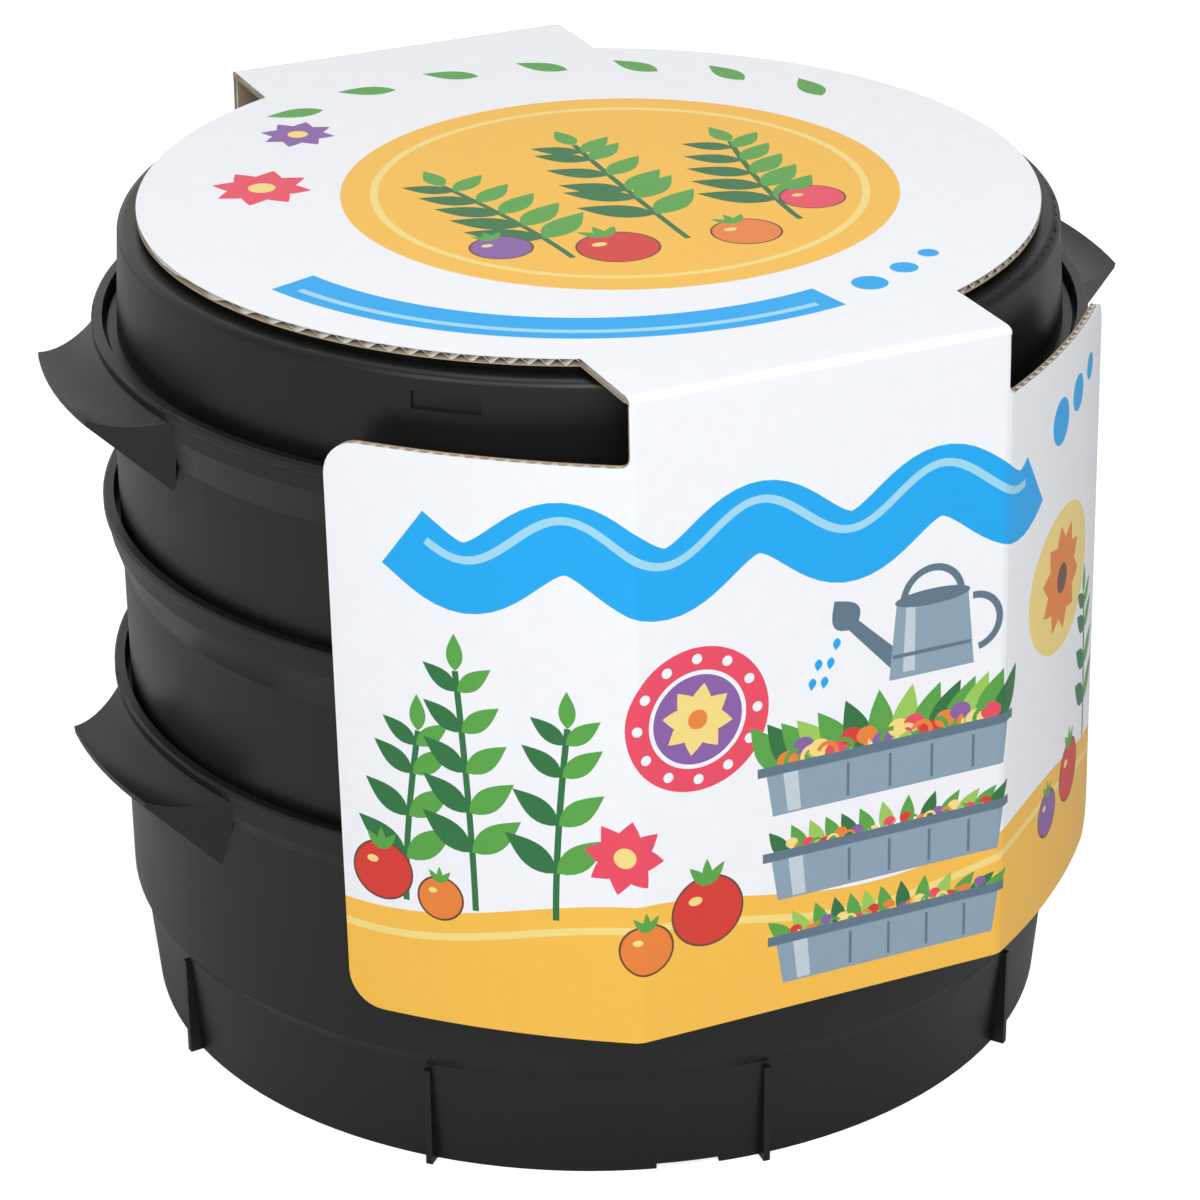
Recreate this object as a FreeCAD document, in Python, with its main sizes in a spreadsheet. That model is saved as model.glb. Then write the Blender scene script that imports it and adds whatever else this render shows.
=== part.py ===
import FreeCAD, Part
import math
import os

import Sketcher
from FreeCAD import Placement, Rotation, Vector

# Stacking worm bin in its carton sleeve: collector tray, two working trays, lid, and the kit packed inside.
# Millimetres, +Z up, origin at the centre of the foot. The sleeve's printed front faces -Y.

# Driving sizes: name, value, meaning
SIZES = [
    ("Wall", 3.0, "thickness of every moulded wall and floor"),
    ("RimRadius", 255.0, "outer radius of every tray rim"),
    ("RimLipWidth", 5.5, "width of the rim's flat top"),
    ("RimLipHeight", 6.0, "height of the rim's outer edge"),
    ("RimRound", 1.6, "rounding of the rim's outer edges"),
    ("CollarDepth", 15.0, "height of the straight collar under the rim top"),
    ("CollarSlope", 19.0, "height over which the collar narrows to the wall"),
    ("SeatDepth", 14.0, "depth of the seat for the next tray, under the rim top"),
    ("SeatWidth", 5.0, "width of that seat"),
    ("TrayWallRadius", 246.5, "outer radius of a working tray's wall"),
    ("TrayHeight", 150.0, "height of a working tray"),
    ("TrayPitch", 96.7, "height that each working tray adds to the stack"),
    ("NestRadius", 241.5, "outer radius of a working tray just under its shoulder"),
    ("TrayFootRadius", 235.0, "outer radius of a working tray at its floor"),
    ("FootBevel", 5.0, "bevel round a tray's floor"),
    ("HoleRadius", 4.0, "radius of the worm holes in a tray floor"),
    ("HoleRing", 46.0, "spacing of the rings of worm holes"),
    ("CollectorHeight", 185.0, "height of the collector tray"),
    ("CollectorWallRadius", 251.0, "outer radius of the collector's wall"),
    ("SkirtFootRadius", 241.0, "outer radius of the collector's skirt at the foot"),
    ("SkirtTopRadius", 246.0, "outer radius of the skirt just under the step"),
    ("SkirtHeight", 58.0, "height of the step between skirt and wall"),
    ("StepRise", 8.0, "height of the sloping step"),
    ("FloorHeight", 60.0, "height of the underside of the collector's floor"),
    ("FloorBevel", 6.0, "bevel between the collector's floor and wall"),
    ("IslandRadius", 90.0, "foot radius of the raised island in the collector"),
    ("IslandTopRadius", 46.0, "top radius of the island"),
    ("IslandHeight", 45.0, "height of the island over the floor"),
    ("RibCount", 9.0, "number of ribs round the skirt"),
    ("RibReach", 7.0, "how far a rib stands out at the foot"),
    ("RibThickness", 3.5, "thickness of a skirt rib"),
    ("RibHeight", 55.0, "height of a skirt rib"),
    ("RibStart", -18.3, "angle of the first rib from the collector's wing"),
    ("NotchCount", 3.0, "number of tipping notches in the foot edge"),
    ("NotchWidth", 32.0, "width of a tipping notch"),
    ("NotchHeight", 3.0, "height of a tipping notch"),
    ("NotchStart", 252.5, "angle of the first notch from the collector's wing"),
    ("TapHoleRadius", 11.0, "radius of the hole for the tap"),
    ("TapHoleHeight", 84.0, "height of that hole's axis"),
    ("TapBossRadius", 19.0, "radius of the flat boss round the tap hole"),
    ("WingReach", 283.0, "radius at a wing's outer edge"),
    ("WingHalfAngle", 9.4, "half angle of a wing at its outer edge"),
    ("WingRootAngle", 17.5, "half angle of a wing at the rim"),
    ("WingDrop", 9.0, "how far the outer edge lies under the rim top"),
    ("WingDip", 4.5, "how far the shelf hangs under a straight line to its edge"),
    ("GussetDepth", 50.0, "depth of a wing's side plate, under the rim top"),
    ("GussetAngle", 13.4, "half angle between the lower tips of a wing's side plates"),
    ("UpperTrayTurn", -3.5, "turn of the upper working tray on the stack"),
    ("CollectorTurn", 4.0, "turn of the collector under the stack"),
    ("LidRise", 52.0, "height of the lid over the upper tray's rim"),
    ("LidDraft", 3.3, "how far the lid's wall leans in from its foot to its top"),
    ("LidRound", 4.5, "rounding of the lid's top edge"),
    ("LidStep", 3.4, "how far the lid's outer shoulder lies under its top"),
    ("LidLedge", 17.0, "width of the lid's shoulder with the slope up to its top"),
    ("LidFootGap", 2.5, "gap between the lid's foot bead and the tray's collar"),
    ("LidBead", 4.7, "how far the foot bead stands out of the lid's wall"),
    ("LidFootHeight", 8.0, "height of the foot bead"),
    ("LidPlugGap", 1.9, "gap between the lid's locating ring and the tray's seat"),
    ("LidPlugDepth", 9.0, "depth of the locating ring"),
    ("LidPanelMargin", 24.0, "width of the raised ring between the sunk panel and the shoulder"),
    ("LidPanelDepth", 5.0, "depth of that panel"),
    ("VentRadius", 3.0, "radius of the vent holes in the lid"),
    ("VentRing", 50.0, "spacing of the rings of vent holes"),
    ("GripWidth", 34.0, "width of a finger grip in the lid's wall"),
    ("GripDrop", 9.0, "how far a finger grip starts below the lid's shoulder"),
    ("GripHeight", 9.0, "height of a finger grip"),
    ("GripDepth", 1.6, "depth of a finger grip"),
    ("Board", 4.0, "thickness of the corrugated board"),
    ("DiscRadius", 229.0, "radius of the sleeve's top disc"),
    ("NeckHalfWidth", 98.0, "half width of the sleeve's necks and front face"),
    ("PanelInside", 256.0, "distance from the axis to the inside of a panel at its crease"),
    ("PanelDrop", 332.0, "length of a panel from its crease to its lower edge"),
    ("FlapDrop", 34.0, "how far a panel's side flaps start under its crease"),
    ("PanelLean", 1.6, "lean of a panel, outwards at the bottom"),
    ("FrontFlapAngle", 52.5, "angle of the front panel's free edges from its middle"),
    ("FrontStandOff", 6.4, "how much further out than a panel's inside those edges' outside lies"),
    ("BackFlapAngle", 40.0, "angle of the back panel's free edges from its middle"),
    ("BackStandOff", 8.3, "how much further out than a panel's inside those edges' outside lies"),
    ("FlapBend", 450.0, "outside radius of a side flap's bend"),
    ("PanelCorner", 18.0, "corner radius of a panel"),
    ("NeckCorner", 5.0, "radius of the inner corners beside the neck"),
    ("LegLength", 300.0, "length of a leg"),
    ("LegHeadHalf", 52.0, "half width of a leg's web at the head"),
    ("LegFootHalf", 36.0, "half width of a leg's web at the foot"),
    ("LegDepth", 26.0, "depth of a leg's channel"),
    ("LegFlare", 6.97, "how far each flange of a leg leans out"),
    ("LegSkin", 3.1, "thickness of a leg's flange, measured across"),
    ("LegStep", 12.5, "height that each packed leg adds to the pile"),
    ("LegTongue", 20.0, "length of the tongue at a leg's head"),
    ("LegTongueHalf", 24.0, "half width of that tongue"),
    ("TongueHoleRadius", 3.5, "radius of the hole in the tongue"),
    ("TapInletRadius", 10.5, "radius of the tap's threaded inlet"),
    ("TapInletLength", 30.0, "length of that inlet"),
    ("TapBore", 7.0, "radius of the tap's water way"),
    ("TapFlangeRadius", 19.0, "radius of the tap's flange"),
    ("TapFlange", 4.0, "thickness of the tap's flange"),
    ("TapNeck", 16.0, "length of the tap between flange and valve"),
    ("TapNeckRadius", 9.6, "radius of that length"),
    ("ValveRadius", 12.5, "outer radius of the valve housing"),
    ("ValveRise", 13.0, "height of the housing over the inlet's axis"),
    ("PlugRadius", 7.5, "radius of the turning plug"),
    ("PlugClearance", 0.05, "running clearance round the plug"),
    ("PlugDrop", 11.0, "length of the plug under the inlet's axis"),
    ("SpoutRadius", 8.6, "outer radius of the spout"),
    ("SpoutBore", 6.0, "radius of the spout's bore"),
    ("SpoutDrop", 31.0, "length of the spout under the inlet's axis"),
    ("HandleCap", 5.0, "thickness of the handle's round cap"),
    ("HandleLength", 34.0, "length of the handle's lever"),
    ("HandleWidth", 11.0, "width of the lever"),
    ("PlugWay", 5.0, "radius of the hole through the plug"),
    ("SealRadius", 0.8, "radius of the seal ring's section"),
    ("WasherRadius", 18.0, "outer radius of the tap's washers"),
    ("WasherThickness", 2.5, "thickness of a washer"),
    ("WasherClearance", 0.1, "clearance of the washers on the inlet"),
    ("NutRadius", 18.5, "radius to the corners of the tap's nut"),
    ("NutThickness", 8.0, "thickness of that nut"),
    ("NutClearance", 0.05, "clearance of the nut on the inlet"),
    ("TapAcross", -165.0, "place of the packed tap across the collector"),
    ("TapAlong", -14.0, "place of the packed tap's flange along the collector"),
    ("BlockLength", 200.0, "length of the bedding block"),
    ("BlockWidth", 100.0, "width of the block"),
    ("BlockHeight", 60.0, "height of the block"),
    ("BlockAlong", -82.0, "place of the block along the tray"),
    ("BandWidth", 70.0, "width of the paper band round the block"),
    ("BandThickness", 0.8, "thickness of that band"),
    ("LeafletLength", 148.0, "length of the folded leaflet"),
    ("LeafletWidth", 210.0, "width of the leaflet"),
    ("LeafletThickness", 2.0, "thickness of the leaflet"),
    ("LeafletAlong", 112.0, "place of the leaflet along the tray"),
]

# Sizes that follow from the driving ones: name, formula
DERIVED = [
    ("Nought", "0"),
    ("CollarInner", "RimRadius - RimLipWidth"),
    ("CollarOuter", "RimRadius - RimLipWidth + Wall"),
    ("SeatInner", "RimRadius - RimLipWidth - SeatWidth"),
    ("TrayLipFoot", "TrayHeight - RimLipHeight"),
    ("TrayCollarFoot", "TrayHeight - CollarDepth"),
    ("TraySlopeFoot", "TrayHeight - CollarDepth - CollarSlope"),
    ("TraySeat", "TrayHeight - SeatDepth"),
    ("Shoulder", "TrayHeight - TrayPitch - SeatDepth"),
    ("ShoulderTop", "TrayHeight - TrayPitch - SeatDepth + Wall"),
    ("TrayInner", "TrayWallRadius - Wall"),
    ("NestInner", "NestRadius - Wall"),
    ("TrayFootInner", "TrayFootRadius - Wall"),
    ("TrayFloorOuter", "TrayFootRadius - FootBevel"),
    ("TrayFloorInner", "TrayFootRadius - FootBevel - Wall"),
    ("TrayBevelTop", "FootBevel + Wall"),
    ("CollectorLipFoot", "CollectorHeight - RimLipHeight"),
    ("CollectorCollarFoot", "CollectorHeight - CollarDepth"),
    ("CollectorSlopeFoot", "CollectorHeight - CollarDepth - RimLipHeight"),
    ("CollectorSeat", "CollectorHeight - SeatDepth"),
    ("CollectorSeatFoot", "CollectorHeight - SeatDepth - Wall"),
    ("CollectorSeatRoot", "CollectorHeight - SeatDepth - Wall - SeatWidth"),
    ("CollectorInner", "CollectorWallRadius - Wall"),
    ("StepTop", "SkirtHeight + StepRise"),
    ("FloorTop", "FloorHeight + Wall"),
    ("FloorBevelTop", "FloorHeight + Wall + FloorBevel"),
    ("FloorBevelInner", "CollectorWallRadius - Wall - FloorBevel"),
    ("IslandTop", "FloorHeight + Wall + IslandHeight"),
    ("IslandCeiling", "FloorHeight + IslandHeight"),
    ("IslandInner", "IslandRadius - Wall"),
    ("IslandTopInner", "IslandTopRadius - Wall"),
    ("SkirtTopInner", "SkirtTopRadius - Wall"),
    ("SkirtFootInner", "SkirtFootRadius - Wall"),
    ("RibRoot", "SkirtFootRadius - 1"),
    ("RibTopRoot", "SkirtTopRadius - 1"),
    ("RibEdge", "SkirtFootRadius + RibReach"),
    ("NotchHalf", "NotchWidth / 2"),
    ("LowerTrayFoot", "CollectorHeight + TrayPitch - TrayHeight"),
    ("UpperTrayFoot", "CollectorHeight + 2 * TrayPitch - TrayHeight"),
    ("LidSeat", "CollectorHeight + 2 * TrayPitch - SeatDepth"),
    ("LidTop", "SeatDepth + LidRise"),
    ("LidCeiling", "SeatDepth + LidRise - Wall"),
    ("LidShoulder", "SeatDepth + LidRise - LidStep"),
    ("LidShoulderUnder", "SeatDepth + LidRise - LidStep - Wall"),
    ("LidFootRadius", "CollarInner - LidFootGap"),
    ("LidWallRadius", "LidFootRadius - LidBead"),
    ("LidTopRadius", "LidWallRadius - LidDraft"),
    ("LidStepRadius", "LidTopRadius - LidLedge"),
    ("LidPanelRadius", "LidStepRadius - LidPanelMargin"),
    ("LidPlugRadius", "SeatInner - LidPlugGap"),
    ("LidStepOuter", "LidStepRadius + LidStep"),
    ("LidStepInner", "LidStepRadius - 0.4 * Wall"),
    ("LidStepOuterInner", "LidStepRadius + LidStep - 0.4 * Wall"),
    ("LidBevelFoot", "SeatDepth + LidRise - LidStep - Wall - LidRound / 2"),
    ("LidBevelInner", "LidTopRadius - Wall - LidRound / 2"),
    ("LidTopInner", "LidTopRadius - Wall"),
    ("LidFootInner", "LidPlugRadius - Wall"),
    ("LidPlugFoot", "0 - LidPlugDepth"),
    ("LidPlugTip", "LidPlugRadius - 1"),
    ("LidPlugTipInner", "LidPlugRadius - 1 - Wall"),
    ("LidPanelTop", "SeatDepth + LidRise - LidPanelDepth"),
    ("LidPanelUnder", "SeatDepth + LidRise - LidPanelDepth - Wall"),
    ("LidPanelSlope", "LidPanelRadius + LidPanelDepth"),
    ("LidPanelInner", "LidPanelRadius + Wall"),
    ("LidPanelInnerSlope", "LidPanelRadius + LidPanelDepth + Wall"),
    ("DiscFoot", "CollectorHeight + 2 * TrayPitch + LidRise"),
    ("DiscTop", "CollectorHeight + 2 * TrayPitch + LidRise + Board"),
    ("FlapBendInner", "FlapBend - Board"),
    ("BandOuterSpan", "BlockWidth + 2 * BandThickness"),
    ("BandOuterRise", "BlockHeight + BandThickness"),
    ("UpperFloor", "CollectorHeight + 2 * TrayPitch - TrayHeight + Wall"),
    ("LowerFloor", "CollectorHeight + TrayPitch - TrayHeight + Wall"),
    ("LegHeadFlange", "LegHeadHalf + LegFlare"),
    ("LegFootFlange", "LegFootHalf + LegFlare"),
    ("LegHeadInner", "LegHeadHalf + LegFlare * Wall / LegDepth - LegSkin"),
    ("LegFootInner", "LegFootHalf + LegFlare * Wall / LegDepth - LegSkin"),
    ("LegHeadFlangeInner", "LegHeadHalf + LegFlare - LegSkin"),
    ("LegFootFlangeInner", "LegFootHalf + LegFlare - LegSkin"),
    ("LegWeb", "LegDepth - Wall"),
    ("LegRibFoot", "LegDepth - LegStep"),
    ("HoleCut", "3 * Wall"),
    ("NotchInner", "SkirtFootRadius - 2 * Wall"),
    ("TapBossFace", "CollectorWallRadius + Wall / 2"),
    ("TapBossThickness", "2 * Wall"),
    ("TapBossCut", "6 * Wall"),
    ("TapSpaceInner", "CollectorWallRadius - 4 * Wall"),
    ("TapSpaceOuter", "CollectorWallRadius + 2 * Wall"),
    ("TapSpaceTop", "TapHoleHeight + 2 * TapBossRadius"),
    ("GripInner", "LidTopRadius - GripDepth"),
    ("GripHalf", "GripWidth / 2"),
    ("GripLevel", "SeatDepth + LidRise - LidStep - GripDrop"),
    ("LegHalf", "LegLength / 2"),
    ("LegRibEnd", "LegLength / 2 - 2 * Wall"),
    ("LegWebMiddle", "LegDepth - Wall / 2"),
    ("LegPlateFace", "LegLength / 2 - Wall"),
    ("LegPlateWidth", "2 * LegFootHalf - Wall"),
    ("LegTongueEnd", "LegLength / 2 + LegTongue"),
    ("LegTongueRoot", "LegLength / 2 - Wall"),
    ("TapValve", "TapNeck + ValveRadius - TapFlange"),
    ("HousingDrop", "PlugDrop + Wall"),
    ("HousingHeight", "PlugDrop + Wall + ValveRise"),
    ("TapWayLength", "TapNeck + ValveRadius + TapInletLength"),
    ("PlugBore", "PlugRadius + PlugClearance"),
    ("PlugSpace", "PlugDrop + ValveRise + HandleCap"),
    ("PlugLength", "PlugDrop + ValveRise"),
    ("PlugWayLength", "2 * ValveRadius"),
    ("SealCentre", "PlugRadius - SealRadius"),
    ("SealAlong", "TapAlong - TapNeck - ValveRadius + TapFlange"),
    ("SealLevel", "FloorHeight + Wall + SpoutDrop + (ValveRise + PlugWay) / 2 + SealRadius"),
    ("GrooveFloor", "PlugRadius - 2 * SealRadius - PlugClearance"),
    ("GrooveHeight", "2 * SealRadius + PlugClearance"),
    ("GrooveFoot", "(ValveRise + PlugWay) / 2 - PlugClearance / 2"),
    ("WasherBore", "TapInletRadius + WasherClearance"),
    ("NutBore", "TapInletRadius + NutClearance"),
    ("TapRest", "FloorHeight + Wall + SpoutDrop"),
]

for side in ("Front", "Back"):
    DERIVED += [
        (side + "FlapReach", f"PanelInside + {side}StandOff"),
        (side + "FlapOuterX", f"{side}FlapReach * sin({side}FlapAngle)"),
        (side + "FlapOuterY", f"PanelInside - {side}FlapReach * cos({side}FlapAngle)"),
        (side + "FlapInnerX", f"({side}FlapReach - Board) * sin({side}FlapAngle)"),
        (side + "FlapInnerY", f"PanelInside - ({side}FlapReach - Board) * cos({side}FlapAngle)"),
    ]

doc = FreeCAD.newDocument("WormBin")


def fill_sheet(name, rows):
    """A spreadsheet with one named cell for each row of name, value or formula, and meaning."""
    made = doc.addObject("Spreadsheet::Sheet", name)
    for line, row in enumerate(rows, start=1):
        made.set(f"A{line}", row[0])
        made.set(f"B{line}", str(row[1]))
        made.setAlias(f"B{line}", row[0])
        if len(row) > 2:
            made.set(f"C{line}", row[2])
    return made


# Formulas stand on the same sheet, under the driving sizes
sheet = fill_sheet("Sizes", SIZES + [(name, "=" + formula) for name, formula in DERIVED])
doc.recompute()


def size(name):
    """The present value of a named cell; a leading minus sign turns it round."""
    if name.startswith("-"):
        return -float(sheet.get(name[1:]))
    return float(sheet.get(name))


def bound(name):
    """The expression that ties a property to a named cell."""
    if name.startswith("-"):
        return "-Sizes." + name[1:]
    return "Sizes." + name


def tie(thing, **properties):
    """Binds each property of an object to a cell or to a formula of cells."""
    for key, name in properties.items():
        thing.setExpression(key.replace("__", "."), bound(name))


def new_body(label):
    """An empty body whose label names the finished piece."""
    made = doc.addObject("PartDesign::Body", label)
    made.Label = label
    return made


def origin_plane(body, role):
    """One of a body's own origin planes."""
    for feature in body.Origin.OriginFeatures:
        if feature.Role == role:
            return feature
    raise ValueError(role)


def outline(body, name, role, corners, bends=None, offset=None):
    """A closed outline on an origin plane. Each corner is a pair of cell names.
    bends gives, for a side that is an arc, the cell of its radius and which way it bulges."""
    sketch = body.newObject("Sketcher::SketchObject", name)
    sketch.AttachmentSupport = [(origin_plane(body, role), "")]
    sketch.MapMode = "FlatFace"
    if offset is not None:
        sketch.AttachmentOffset = offset
    bends = bends or {}
    places = [Vector(size(across), size(up), 0) for across, up in corners]
    count = len(places)
    starts = []
    ends = []
    for side, place in enumerate(places):
        following = places[(side + 1) % count]
        if side in bends:
            radius, bulge = bends[side]
            edge = Part.Arc(place, arc_middle(place, following, size(radius), bulge), following)
        else:
            edge = Part.LineSegment(place, following)
        sketch.addGeometry(edge, False)
        turned = (sketch.getPoint(side, 1) - place).Length > (sketch.getPoint(side, 2) - place).Length
        starts.append(2 if turned else 1)
        ends.append(1 if turned else 2)
    for side in range(count):
        following = (side + 1) % count
        sketch.addConstraint(
            Sketcher.Constraint("Coincident", side, ends[side], following, starts[following])
        )
    for side, names in enumerate(corners):
        hold_corner(sketch, side, starts[side], names)
    for side, (radius, bulge) in bends.items():
        index = sketch.addConstraint(Sketcher.Constraint("Radius", side, size(radius)))
        sketch.setExpression(f"Constraints[{index}]", bound(radius))
    return sketch


def arc_middle(start, end, radius, bulge):
    """The middle point of an arc between two points, bulging to the left (1) or right (-1)."""
    chord = end - start
    half = chord.Length / 2
    rise = radius - math.sqrt(radius * radius - half * half)
    left = Vector(-chord.y, chord.x, 0).normalize()
    return (start + end) * 0.5 + left * (bulge * rise)


def hold_corner(sketch, side, end, names):
    """Ties one corner of an outline to its two cells."""
    for kind, name in zip(("DistanceX", "DistanceY"), names):
        index = sketch.addConstraint(Sketcher.Constraint(kind, -1, 1, side, end, size(name)))
        if name != "Nought":
            sketch.setExpression(f"Constraints[{index}]", bound(name))


def circle_sketch(body, name, role, across, up, radius, offset=None):
    """One circle on an origin plane, its place and radius given by numbers and a cell."""
    sketch = body.newObject("Sketcher::SketchObject", name)
    sketch.AttachmentSupport = [(origin_plane(body, role), "")]
    sketch.MapMode = "FlatFace"
    if offset is not None:
        sketch.AttachmentOffset = offset
    sketch.addGeometry(Part.Circle(Vector(across, up, 0), Vector(0, 0, 1), size(radius)), False)
    sketch.addConstraint(Sketcher.Constraint("DistanceX", -1, 1, 0, 3, across))
    sketch.addConstraint(Sketcher.Constraint("DistanceY", -1, 1, 0, 3, up))
    index = sketch.addConstraint(Sketcher.Constraint("Radius", 0, size(radius)))
    sketch.setExpression(f"Constraints[{index}]", bound(radius))
    return sketch


def turned_solid(body, name, corners):
    """Turns an outline in the XZ plane about the body's own Z axis."""
    sketch = outline(body, name + "_outline", "XZ_Plane", corners)
    made = body.newObject("PartDesign::Revolution", name)
    made.Profile = sketch
    made.ReferenceAxis = (sketch, ["V_Axis"])
    made.Angle = 360
    return made


def padded(body, name, sketch, length, both_ways=False, backwards=False):
    """Extrudes an outline by the length in a cell."""
    made = body.newObject("PartDesign::Pad", name)
    made.Profile = sketch
    made.Midplane = both_ways
    made.Reversed = backwards
    tie(made, Length=length)
    return made


def pocketed(body, name, sketch, length, both_ways=False, backwards=False):
    """Cuts an outline away over the length in a cell."""
    made = body.newObject("PartDesign::Pocket", name)
    made.Profile = sketch
    made.Midplane = both_ways
    made.Reversed = backwards
    tie(made, Length=length)
    return made


def repeated(body, name, features, axis, count):
    """Repeats features evenly round the axis of a sketch."""
    made = body.newObject("PartDesign::PolarPattern", name)
    made.Originals = features
    made.Axis = axis
    made.Angle = 360
    made.Occurrences = count
    body.Tip = made
    return made


def rounded(body, name, radius, chosen):
    """Rounds the edges of the body's present shape that the test chooses."""
    doc.recompute()
    base = body.Tip
    edges = [f"Edge{number}" for number, edge in enumerate(base.Shape.Edges, start=1) if chosen(edge)]
    if not edges:
        raise ValueError("no edge to round for " + name)
    made = body.newObject("PartDesign::Fillet", name)
    made.Base = (base, edges)
    tie(made, Radius=radius)
    body.Tip = made
    return made


def is_ring(edge, radius, height):
    """Says whether an edge is a full circle round Z of a radius at a height."""
    curve = edge.Curve
    if not isinstance(curve, Part.Circle):
        return False
    same_radius = abs(curve.Radius - radius) < 0.01
    return same_radius and abs(curve.Center.z - height) < 0.01


def about_z(angle):
    """An attachment offset that turns a sketch on the XZ plane about the body's Z axis."""
    return Placement(Vector(0, 0, 0), Rotation(Vector(0, 1, 0), angle))


def holes_in_rings(body, name, radius, spacing, counts, height, depth):
    """Rings of round holes through a floor that lies at a height; the count is given for each ring."""
    for ring, count in enumerate(counts, start=1):
        lift = Placement(Vector(0, 0, height), Rotation())
        sketch = circle_sketch(
            body, f"{name}_{ring}_circle", "XY_Plane", size(spacing) * ring, 0, radius, lift
        )
        hole = pocketed(body, f"{name}_{ring}", sketch, depth, both_ways=True)
        repeated(body, f"{name}_{ring}_ring", [hole], (sketch, ["N_Axis"]), count)


RIM_TOP_NAMES = {
    "tray": ("TrayHeight", "TrayLipFoot"),
    "collector": ("CollectorHeight", "CollectorLipFoot"),
}


def round_rim(body, kind):
    """Rounds the two outer edges of a tray's rim."""
    heights = [size(name) for name in RIM_TOP_NAMES[kind]]
    rounded(
        body,
        "rim_round",
        "RimRound",
        lambda edge: any(is_ring(edge, size("RimRadius"), height) for height in heights),
    )


def polar(radius, angle, height=0.0):
    """A point at a radius and an angle in degrees from X."""
    turn = math.radians(angle)
    return Vector(radius * math.cos(turn), radius * math.sin(turn), height)


def prism(points, direction):
    """A solid swept from a closed polygon along a vector."""
    face = Part.Face(Part.makePolygon(points + points[:1]))
    return face.extrude(direction)


def turned_face(edges, angle):
    """Turns a face in the XZ plane about Z, from minus the angle to the angle."""
    face = Part.Face(Part.Wire(edges))
    face.rotate(Vector(0, 0, 0), Vector(0, 0, 1), -angle)
    return face.revolve(Vector(0, 0, 0), Vector(0, 0, 1), 2 * angle)


def wing_solid(rim_height, wall_radius):
    """One carrying wing on +X: a dipping shelf under the rim and a slanting plate at each end."""
    reach = size("WingReach")
    skin = size("Wall")
    root = size("CollarOuter") - skin / 2
    root_height = rim_height - size("RimLipHeight") / 2
    tip_height = rim_height - size("WingDrop")
    middle_height = (root_height + tip_height) / 2 - size("WingDip")
    start = Vector(root, 0, root_height)
    middle = Vector((root + reach) / 2, 0, middle_height)
    end = Vector(reach, 0, tip_height)
    down = Vector(0, 0, -skin)
    spread = size("WingRootAngle")

    shelf = turned_face(
        [
            Part.Arc(start, middle, end).toShape(),
            Part.makeLine(end, end + down),
            Part.Arc(end + down, middle + down, start + down).toShape(),
            Part.makeLine(start + down, start),
        ],
        spread,
    )
    under = turned_face(
        [
            Part.Arc(start, middle, end).toShape(),
            Part.makeLine(end, Vector(reach, 0, 0)),
            Part.makeLine(Vector(reach, 0, 0), Vector(wall_radius - skin, 0, 0)),
            Part.makeLine(Vector(wall_radius - skin, 0, 0), Vector(wall_radius - skin, 0, root_height)),
            Part.makeLine(Vector(wall_radius - skin, 0, root_height), start),
        ],
        2 * spread,
    )
    made = shelf
    plates = []
    for hand in (1, -1):
        rim = polar(size("CollarOuter"), hand * spread, root_height)
        tip = polar(wall_radius - skin / 3, hand * size("GussetAngle"), rim_height - size("GussetDepth"))
        corner = polar(reach, hand * size("WingHalfAngle"), tip_height - skin)
        inward = (corner - tip).cross(rim - tip).normalize() * hand
        along = (corner - rim).normalize() * reach
        across = along.cross(inward)
        square = [rim + along + across, rim - along + across, rim - along - across, rim + along - across]
        made = made.common(prism(square, inward * reach))
        upward = (rim - tip) * 0.4
        plate = prism([tip, corner, corner + upward, rim + upward], inward * skin)
        plates.append(plate.common(under))
    made = made.fuse(plates)
    return made.removeSplitter()


WING_SPACE_MARGIN = 2.5


def wings(name, rim_height, wall_radius):
    """The pair of wings of one tray, and the space round them in which the wall goes with them.
    A moulding is divided there, so that the room under its wings stays open in collision."""
    one = wing_solid(rim_height, wall_radius)
    inner = wall_radius - 4 * size("Wall")
    outer = size("WingReach") + size("Wall")
    low = rim_height - size("GussetDepth") - size("Wall")
    high = rim_height + size("Wall")
    half_angle = size("WingRootAngle") + WING_SPACE_MARGIN
    other = one.copy()
    other.rotate(Vector(0, 0, 0), Vector(0, 0, 1), 180)
    pair = doc.addObject("Part::Feature", name + "_wing_pair")
    pair.Shape = Part.makeCompound([one, other])
    space = doc.addObject("Part::Feature", name + "_wing_space")
    space.Shape = Part.makeCompound([sector(inner, outer, low, high, half_angle, turn) for turn in (0, 180)])
    return pair, space


def sector(inner, outer, low, high, half_angle, turn):
    """A part of a ring between two radii and two heights, to both sides of a direction in degrees."""
    corners = [Vector(inner, 0, low), Vector(outer, 0, low), Vector(outer, 0, high), Vector(inner, 0, high)]
    made = turned_face([Part.makeLine(corners[side - 1], corners[side]) for side in range(4)], half_angle)
    made.rotate(Vector(0, 0, 0), Vector(0, 0, 1), turn)
    return made


def finish(thing, label, height="Nought", turn="Nought"):
    """Gives a finished piece its label, its height on the stack and its turn about Z."""
    thing.Label = label
    thing.Placement = Placement(Vector(0, 0, size(height)), Rotation(Vector(0, 0, 1), size(turn)))
    tie(thing, Placement__Base__z=height)
    return thing


def fused(label, things):
    """One solid made of touching or overlapping ones."""
    made = doc.addObject("Part::MultiFuse", label)
    made.Shapes = things
    made.Refine = True
    return made


def cut_by(label, base, tools):
    """A solid less several others."""
    made = doc.addObject("Part::Cut", label)
    made.Base = base
    made.Tool = tools[0] if len(tools) == 1 else fused(label + "_cuts", tools)
    made.Refine = True
    return made


def shared(label, base, tool):
    """The part of a solid inside another."""
    made = doc.addObject("Part::Common", label)
    made.Base = base
    made.Tool = tool
    made.Refine = True
    return made


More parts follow.
